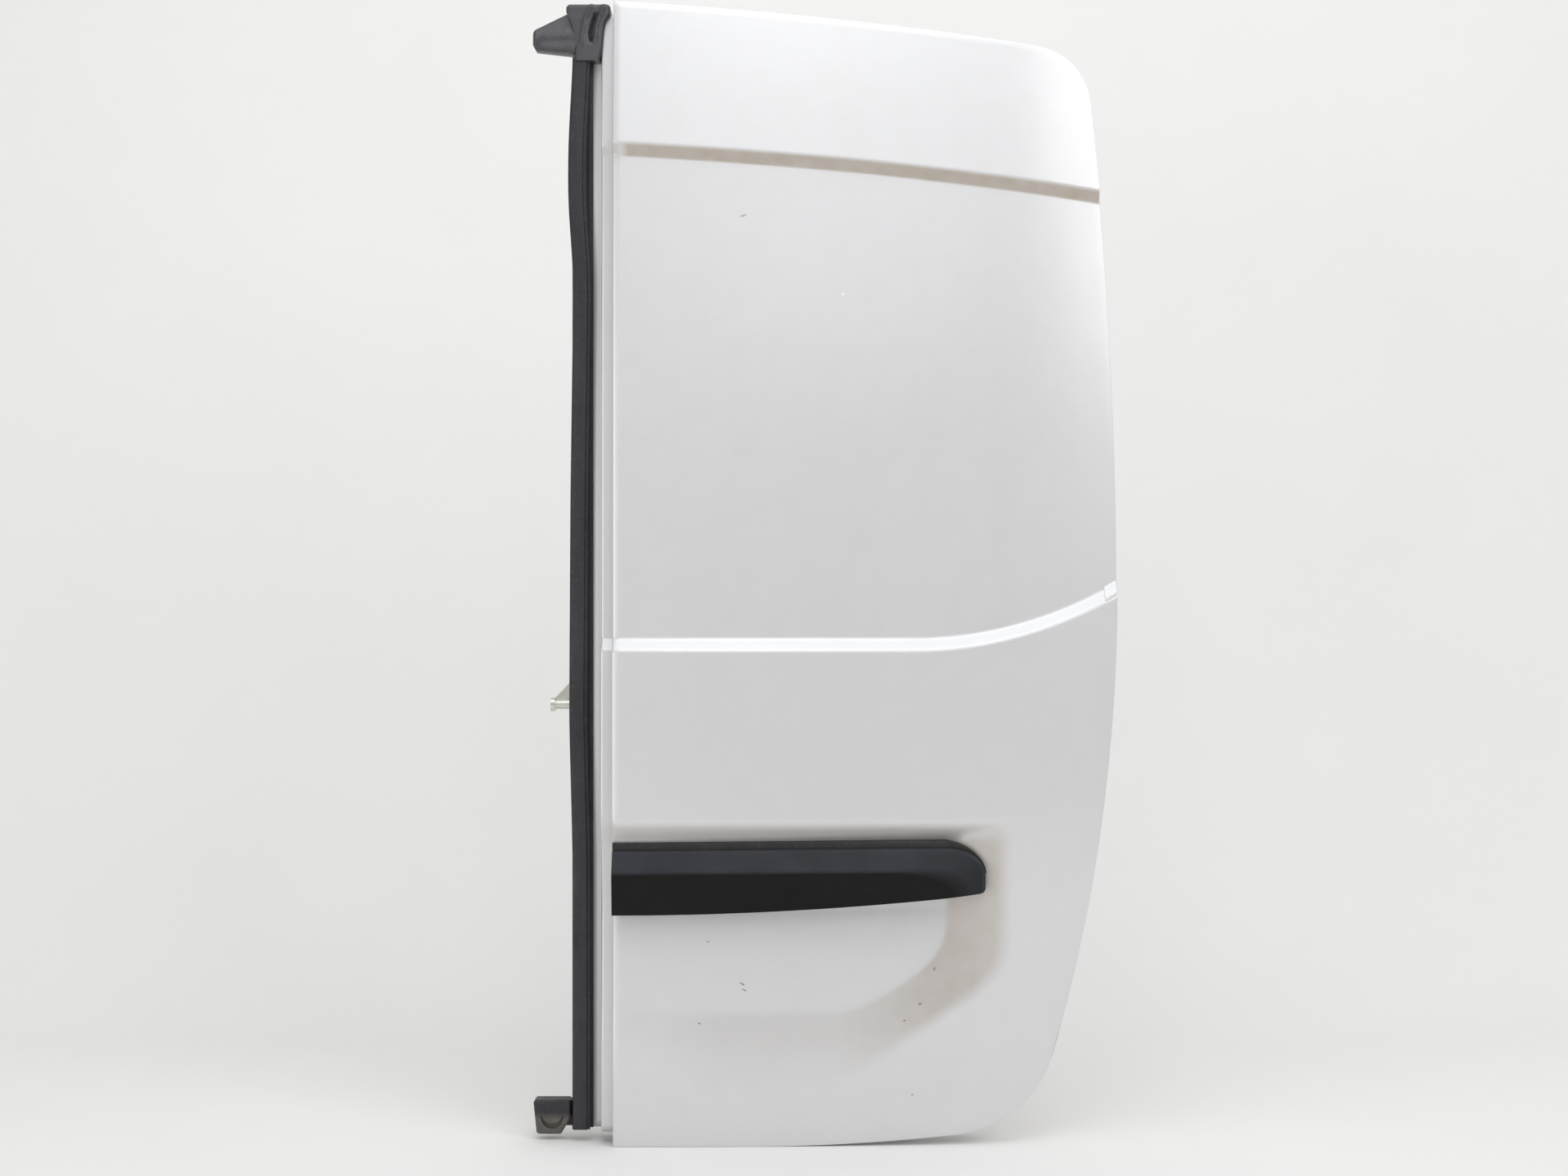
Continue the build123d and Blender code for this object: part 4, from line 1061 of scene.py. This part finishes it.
def silver_finish(name, marked):
    """Silver metallic paint: flake, orange peel, dust, and on the skin its grime, painted shade and marks."""
    paint = Finish(name)
    flake = paint.spread(paint.flakes(1900.0), 0.0, 1.0, 0.0, 0.16)
    tone = paint.spread(paint.noise(2.2, 2.0), 0.3, 0.7, 0.2, 0.4)
    colour = paint.mix(paint.maths("ADD", flake, tone), SILVER_DEEP, SILVER_LIGHT)
    dust = paint.spread(paint.noise(38.0, 7.0), 0.42, 0.75, 0.0, 0.08)
    wipe = paint.spread(paint.noise(16.0, 5.0, (1.0, 1.0, 0.16)), 0.55, 0.8, 0.0, 0.07)
    soiled = paint.maths("ADD", dust, wipe)
    if marked:
        # Grime-and-shade mask read from the skin's points: painted shade under the header step, at the
        # closing edge and on the recess walls, and dust at the foot
        grime_and_shade = paint.add("ShaderNodeAttribute")
        grime_and_shade.attribute_name = "grime_and_shade"
        uneven = paint.spread(paint.noise(55.0, 5.0), 0.25, 0.7, 0.75, 1.0)
        colour = paint.mix(paint.maths("MULTIPLY", grime_and_shade.outputs["Fac"], uneven), colour, GRIME_AND_SHADE)
    colour = paint.mix(soiled, colour, DUST)
    roughness = paint.spread(paint.noise(24.0, 5.0), 0.3, 0.7, 0.33, 0.36)
    if marked:
        outside = paint.spread(paint.facing("Y"), -0.5, -0.4, 1.0, 0.0)
        for x, z, long, short, turn, mark_colour in MARKS:
            share = paint.maths("MULTIPLY", paint.spot(x, z, long, short, turn), outside)
            colour = paint.mix(share, colour, mark_colour)
    paint.set(Base_Color=colour, Roughness=roughness, Metallic=0.38)
    paint.set(Coat_Weight=0.35, Coat_Roughness=0.12)
    paint.bump(paint.noise(420.0, 2.0), 0.00006)
    paint.bump(paint.noise(9.0, 2.0), 0.00003)
    return paint.material


def rubber_finish(name, colours, sheen=SEAL_SHEEN, dust_line=None):
    """Old rubber: fine grain, grey bloom and dust, which may also lie below a line."""
    deep, bloomed, dusty = colours
    rubber = Finish(name)
    bloom = rubber.spread(rubber.noise(30.0, 6.0, (1.0, 1.0, 0.3)), 0.4, 0.75, 0.0, 0.5)
    colour = rubber.mix(bloom, deep, bloomed)
    dust = rubber.spread(rubber.noise(210.0, 5.0), 0.55, 0.8, 0.0, 0.35)
    colour = rubber.mix(dust, colour, dusty)
    if dust_line is not None:
        place = rubber.add("ShaderNodeNewGeometry").outputs["Position"]
        height = rubber.add("ShaderNodeSeparateXYZ", Vector=place).outputs["Z"]
        low, high = (float(metres((0.0, 0.0, line))[2]) for line in dust_line)
        patchy = rubber.spread(rubber.noise(90.0, 5.0), 0.25, 0.7, 0.5, 1.0)
        share = rubber.maths("MULTIPLY", rubber.spread(height, low, high, 0.9, 0.0), patchy)
        colour = rubber.mix(share, colour, FOOT_DUST)
    roughness = rubber.spread(rubber.noise(60.0, 4.0), 0.3, 0.7, sheen, sheen + 0.2)
    rubber.set(Base_Color=colour, Roughness=roughness)
    rubber.set(Coat_Weight=max(0.0, 1.0 - sheen / 0.4), Coat_Roughness=0.15)
    rubber.bump(rubber.noise(1500.0, 2.0), 0.00008)
    return rubber.material


def plastic_finish():
    """Grained black plastic, with a bluish painted sheen, a painted reflection of the light above, where it
    faces up or toward the hinges.
    """
    plastic = Finish("grained_plastic")
    bloom = plastic.spread(plastic.noise(12.0, 6.0, (0.4, 1.0, 1.0)), 0.35, 0.75, 0.0, 0.6)
    colour = plastic.mix(bloom, PLASTIC_DEEP, PLASTIC_WORN)
    # Painted reflection of the light above: a bluish sheen in patches where the garnish faces up or toward
    # the hinges
    aside = plastic.maths("MULTIPLY", plastic.facing("X"), 1.2)
    upward = plastic.spread(plastic.maths("ADD", plastic.facing("Z"), aside), 0.12, 0.5, 0.0, 1.0)
    patchy = plastic.spread(plastic.noise(18.0, 5.0), 0.25, 0.75, 0.55, 1.0)
    painted_sheen = plastic.maths("MULTIPLY", upward, patchy)
    colour = plastic.mix(painted_sheen, colour, PLASTIC_PAINTED_SHEEN)
    scuff = plastic.spread(plastic.noise(25.0, 7.0, (0.25, 1.0, 1.0)), 0.66, 0.8, 0.0, 0.2)
    colour = plastic.mix(scuff, colour, PLASTIC_SCUFF)
    roughness = plastic.spread(plastic.noise(40.0, 5.0), 0.3, 0.7, 0.36, 0.48)
    plastic.set(Base_Color=colour, Roughness=roughness, Specular_IOR_Level=0.18)
    plastic.bump(plastic.flakes(1400.0), 0.00005)
    return plastic.material


def zinc_finish():
    """Zinc plate with a yellow passivation and dull patches."""
    zinc = Finish("passivated_zinc")
    patch = zinc.spread(zinc.noise(70.0, 5.0), 0.35, 0.7, 0.0, 1.0)
    colour = zinc.mix(patch, ZINC_YELLOW, ZINC_WHITE)
    dull = zinc.spread(zinc.noise(420.0, 4.0), 0.55, 0.8, 0.0, 0.3)
    colour = zinc.mix(dull, colour, ZINC_DULL)
    roughness = zinc.spread(zinc.noise(160.0, 4.0), 0.3, 0.7, 0.2, 0.36)
    zinc.set(Base_Color=colour, Metallic=0.95, Roughness=roughness)
    zinc.bump(zinc.noise(900.0, 3.0), 0.00004)
    return zinc.material


def floor_finish():
    """Pale floor with a soft mottle, clear when it is seen from behind."""
    pale = Finish("pale_floor")
    colour = pale.mix(pale.noise(3.0, 5.0), FLOOR_DEEP, FLOOR_LIGHT)
    pale.set(Base_Color=colour, Roughness=pale.spread(pale.noise(8.0, 4.0), 0.3, 0.7, 0.75, 0.9))
    choice = pale.tree.nodes.new("ShaderNodeMixShader")
    pale.feed(choice.inputs[0], pale.add("ShaderNodeNewGeometry").outputs["Backfacing"])
    pale.feed(choice.inputs[1], pale.shader.outputs["BSDF"])
    pale.feed(choice.inputs[2], pale.add("ShaderNodeBsdfTransparent").outputs["BSDF"])
    pale.feed(pale.tree.nodes["Material Output"].inputs["Surface"], choice.outputs["Shader"])
    return pale.material


def lay_grime_and_shade(piece, places):
    """Tan mask on the skin: painted shade along the step under the header, on a spot at the closing edge and
    on the recess walls, and dust at the foot.
    """
    x, z = places[:, 0], places[:, 1]
    # Painted shade of the downward-facing step under the header, in the tan colour
    from_step = z - header_line(x)
    under_step = np.clip((STEP_SHADE_BAND[0] - np.abs(from_step + STEP_SHADE_DROP)) / STEP_SHADE_BAND[1], 0.0, 1.0)
    begins = np.clip((x - STEP_SHADE_START[0]) / STEP_SHADE_START[1], 0.0, 1.0)
    # Painted shade on a spot at the closing edge, where the step under the header meets the hem
    edge_shade_height = np.clip((EDGE_SHADE_BAND[0] - np.abs(from_step + EDGE_SHADE_DROP)) / EDGE_SHADE_BAND[1], 0.0, 1.0)
    edge_shade = EDGE_SHADE_STRENGTH * np.exp(-((x - EDGE_SHADE_PLACE[0]) / EDGE_SHADE_PLACE[1]) ** 2) * edge_shade_height
    foot = np.clip((FOOT_GRIME[0] - z) / FOOT_GRIME[1], 0.0, FOOT_STRENGTH)
    # Painted shade on the walls of the plate recess, tinted tan, strongest on its wall toward the hinges
    run = recess_wall(x, z)
    sunk = np.clip((recess_floor(x, z) - profile_depth(x, z)) / SUNK_FULL, 0.0, 1.0)
    strength = np.interp(x, WALL_PLACES, WALL_SHADE_STRENGTHS)
    on_top_wall = np.clip((z - RECESS_TOP[0]) / TOP_WALL_RUN, 0.0, 1.0)
    strength = strength + (TOP_WALL_SHADE_STRENGTH - strength) * on_top_wall
    wall = np.clip(run / WALL_STARTS, 0.0, 1.0) * np.clip((WALL_ENDS[0] - run) / WALL_ENDS[1], 0.0, 1.0)
    wall = wall * sunk * strength
    grime_and_shade = np.clip(STEP_SHADE_STRENGTH * under_step * begins + edge_shade + foot + wall, 0.0, 1.0)
    values = np.zeros(len(piece.data.vertices), np.float32)
    values[: len(grime_and_shade)] = grime_and_shade
    attribute = piece.data.attributes.new("grime_and_shade", "FLOAT", "POINT")
    attribute.data.foreach_set("value", values)


def make_floor():
    """Floor that curves up into a backdrop behind the leaf."""
    profile = [(FLOOR_FRONT, FLOOR_LEVEL)]
    for turn in np.linspace(0.0, math.pi / 2, 14):
        behind = FLOOR_BACK + FLOOR_RADIUS * math.sin(turn)
        height = FLOOR_LEVEL + FLOOR_RADIUS - FLOOR_RADIUS * math.cos(turn)
        profile.append((behind, height))
    profile.append((FLOOR_BACK + FLOOR_RADIUS, BACKDROP_TOP))
    count = len(profile)
    points = [(side, y, z) for side in (-FLOOR_HALF_WIDTH, FLOOR_HALF_WIDTH) for y, z in profile]
    mesh = bpy.data.meshes.new("floor")
    faces = [(i, count + i, count + i + 1, i + 1) for i in range(count - 1)]
    mesh.from_pydata(points, [], faces)
    mesh.shade_smooth()
    mesh.materials.append(floor_finish())
    floor = bpy.data.objects.new("floor", mesh)
    scene.collection.objects.link(floor)


def soft_lamp(name, place, target, size, power, colour=(1.0, 1.0, 1.0)):
    """Round soft lamp aimed at a point."""
    lamp = bpy.data.lights.new(name, "AREA")
    lamp.shape = "DISK"
    lamp.size = size
    lamp.energy = power
    lamp.color = colour
    item = bpy.data.objects.new(name, lamp)
    scene.collection.objects.link(item)
    item.location = place
    item.rotation_euler = (Vector(target) - Vector(place)).to_track_quat("-Z", "Y").to_euler()


# Finishes
SILVER = silver_finish("silver_paint_look", False)
SKIN_SILVER = silver_finish("skin_paint_look", True)
RUBBER = rubber_finish("aged_rubber", SEAL_COLOURS)
CAP_RUBBER = rubber_finish("cap_rubber", CAP_COLOURS, CAP_SHEEN)
FOOT_RUBBER = rubber_finish("foot_rubber", SEAL_COLOURS, dust_line=FOOT_DUST_LINE)
# Gasket rubber, darkened as painted shade of the gap over the garnish
GASKET_AND_SHADE_RUBBER = rubber_finish("gasket_rubber_and_shade", GASKET_AND_SHADE_COLOURS)
PLASTIC = plastic_finish()
ZINC = zinc_finish()
FINISHES = {"silver_paint": SILVER, "seal_rubber": RUBBER, "black_plastic": PLASTIC, "zinc_steel": ZINC}
for item in NODES.values():
    slot_name = item.data.materials[0].name.split(".")[0]
    item.data.materials[0] = FINISHES[slot_name]
NODES["seal_bottom_cap"].data.materials[0] = FOOT_RUBBER

# Pieces
points, faces, places = skin_points()
skin = add_piece("pressed_skin", points, faces, SKIN_SILVER, sharp=40)
lay_grime_and_shade(skin, places)
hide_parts("outer_skin")
channel_piece(SILVER)
seal_piece(RUBBER)
cap_piece(CAP_RUBBER)
garnish_piece(PLASTIC)
gasket_piece(GASKET_AND_SHADE_RUBBER)
sealer_piece(SILVER)
add_heads(ZINC)

# Stage, light and camera
scene = bpy.context.scene
scene.view_settings.view_transform = "Standard"
world = bpy.data.worlds.new("studio")
scene.world = world
world.use_nodes = True
world.node_tree.nodes["Background"].inputs["Color"].default_value = (1.0, 1.0, 1.0, 1.0)
world.node_tree.nodes["Background"].inputs["Strength"].default_value = WORLD_STRENGTH

make_floor()
TARGET = metres(VIEW_CENTRE)
soft_lamp("key", (2.0, -2.3, 2.1), tuple(TARGET), 2.4, 30.0)
soft_lamp("overhead", (-0.35, -1.05, 2.4), (-0.35, -0.35, 0.4), 2.2, 17.5, COOL_LIGHT)
soft_lamp("glint", (-0.35, -1.6, 2.3), (-0.5, -0.1, 0.7), 0.5, 2.0)
soft_lamp("front", (-0.1, -3.3, 2.0), (-0.25, -0.1, 0.7), 1.8, 6.3)
soft_lamp("fill", (-2.4, -2.3, 0.4), tuple(TARGET), 2.2, 17.0, WARM_LIGHT)

camera_data = bpy.data.cameras.new("camera")
camera = bpy.data.objects.new("camera", camera_data)
scene.collection.objects.link(camera)
camera.location = (TARGET[0], TARGET[1] - CAMERA_DISTANCE, TARGET[2])
camera.rotation_euler = (math.radians(90.0), 0.0, 0.0)
camera_data.sensor_width = SENSOR_WIDTH
camera_data.lens = camera_data.sensor_width * CAMERA_DISTANCE / VIEW_WIDTH
scene.camera = camera
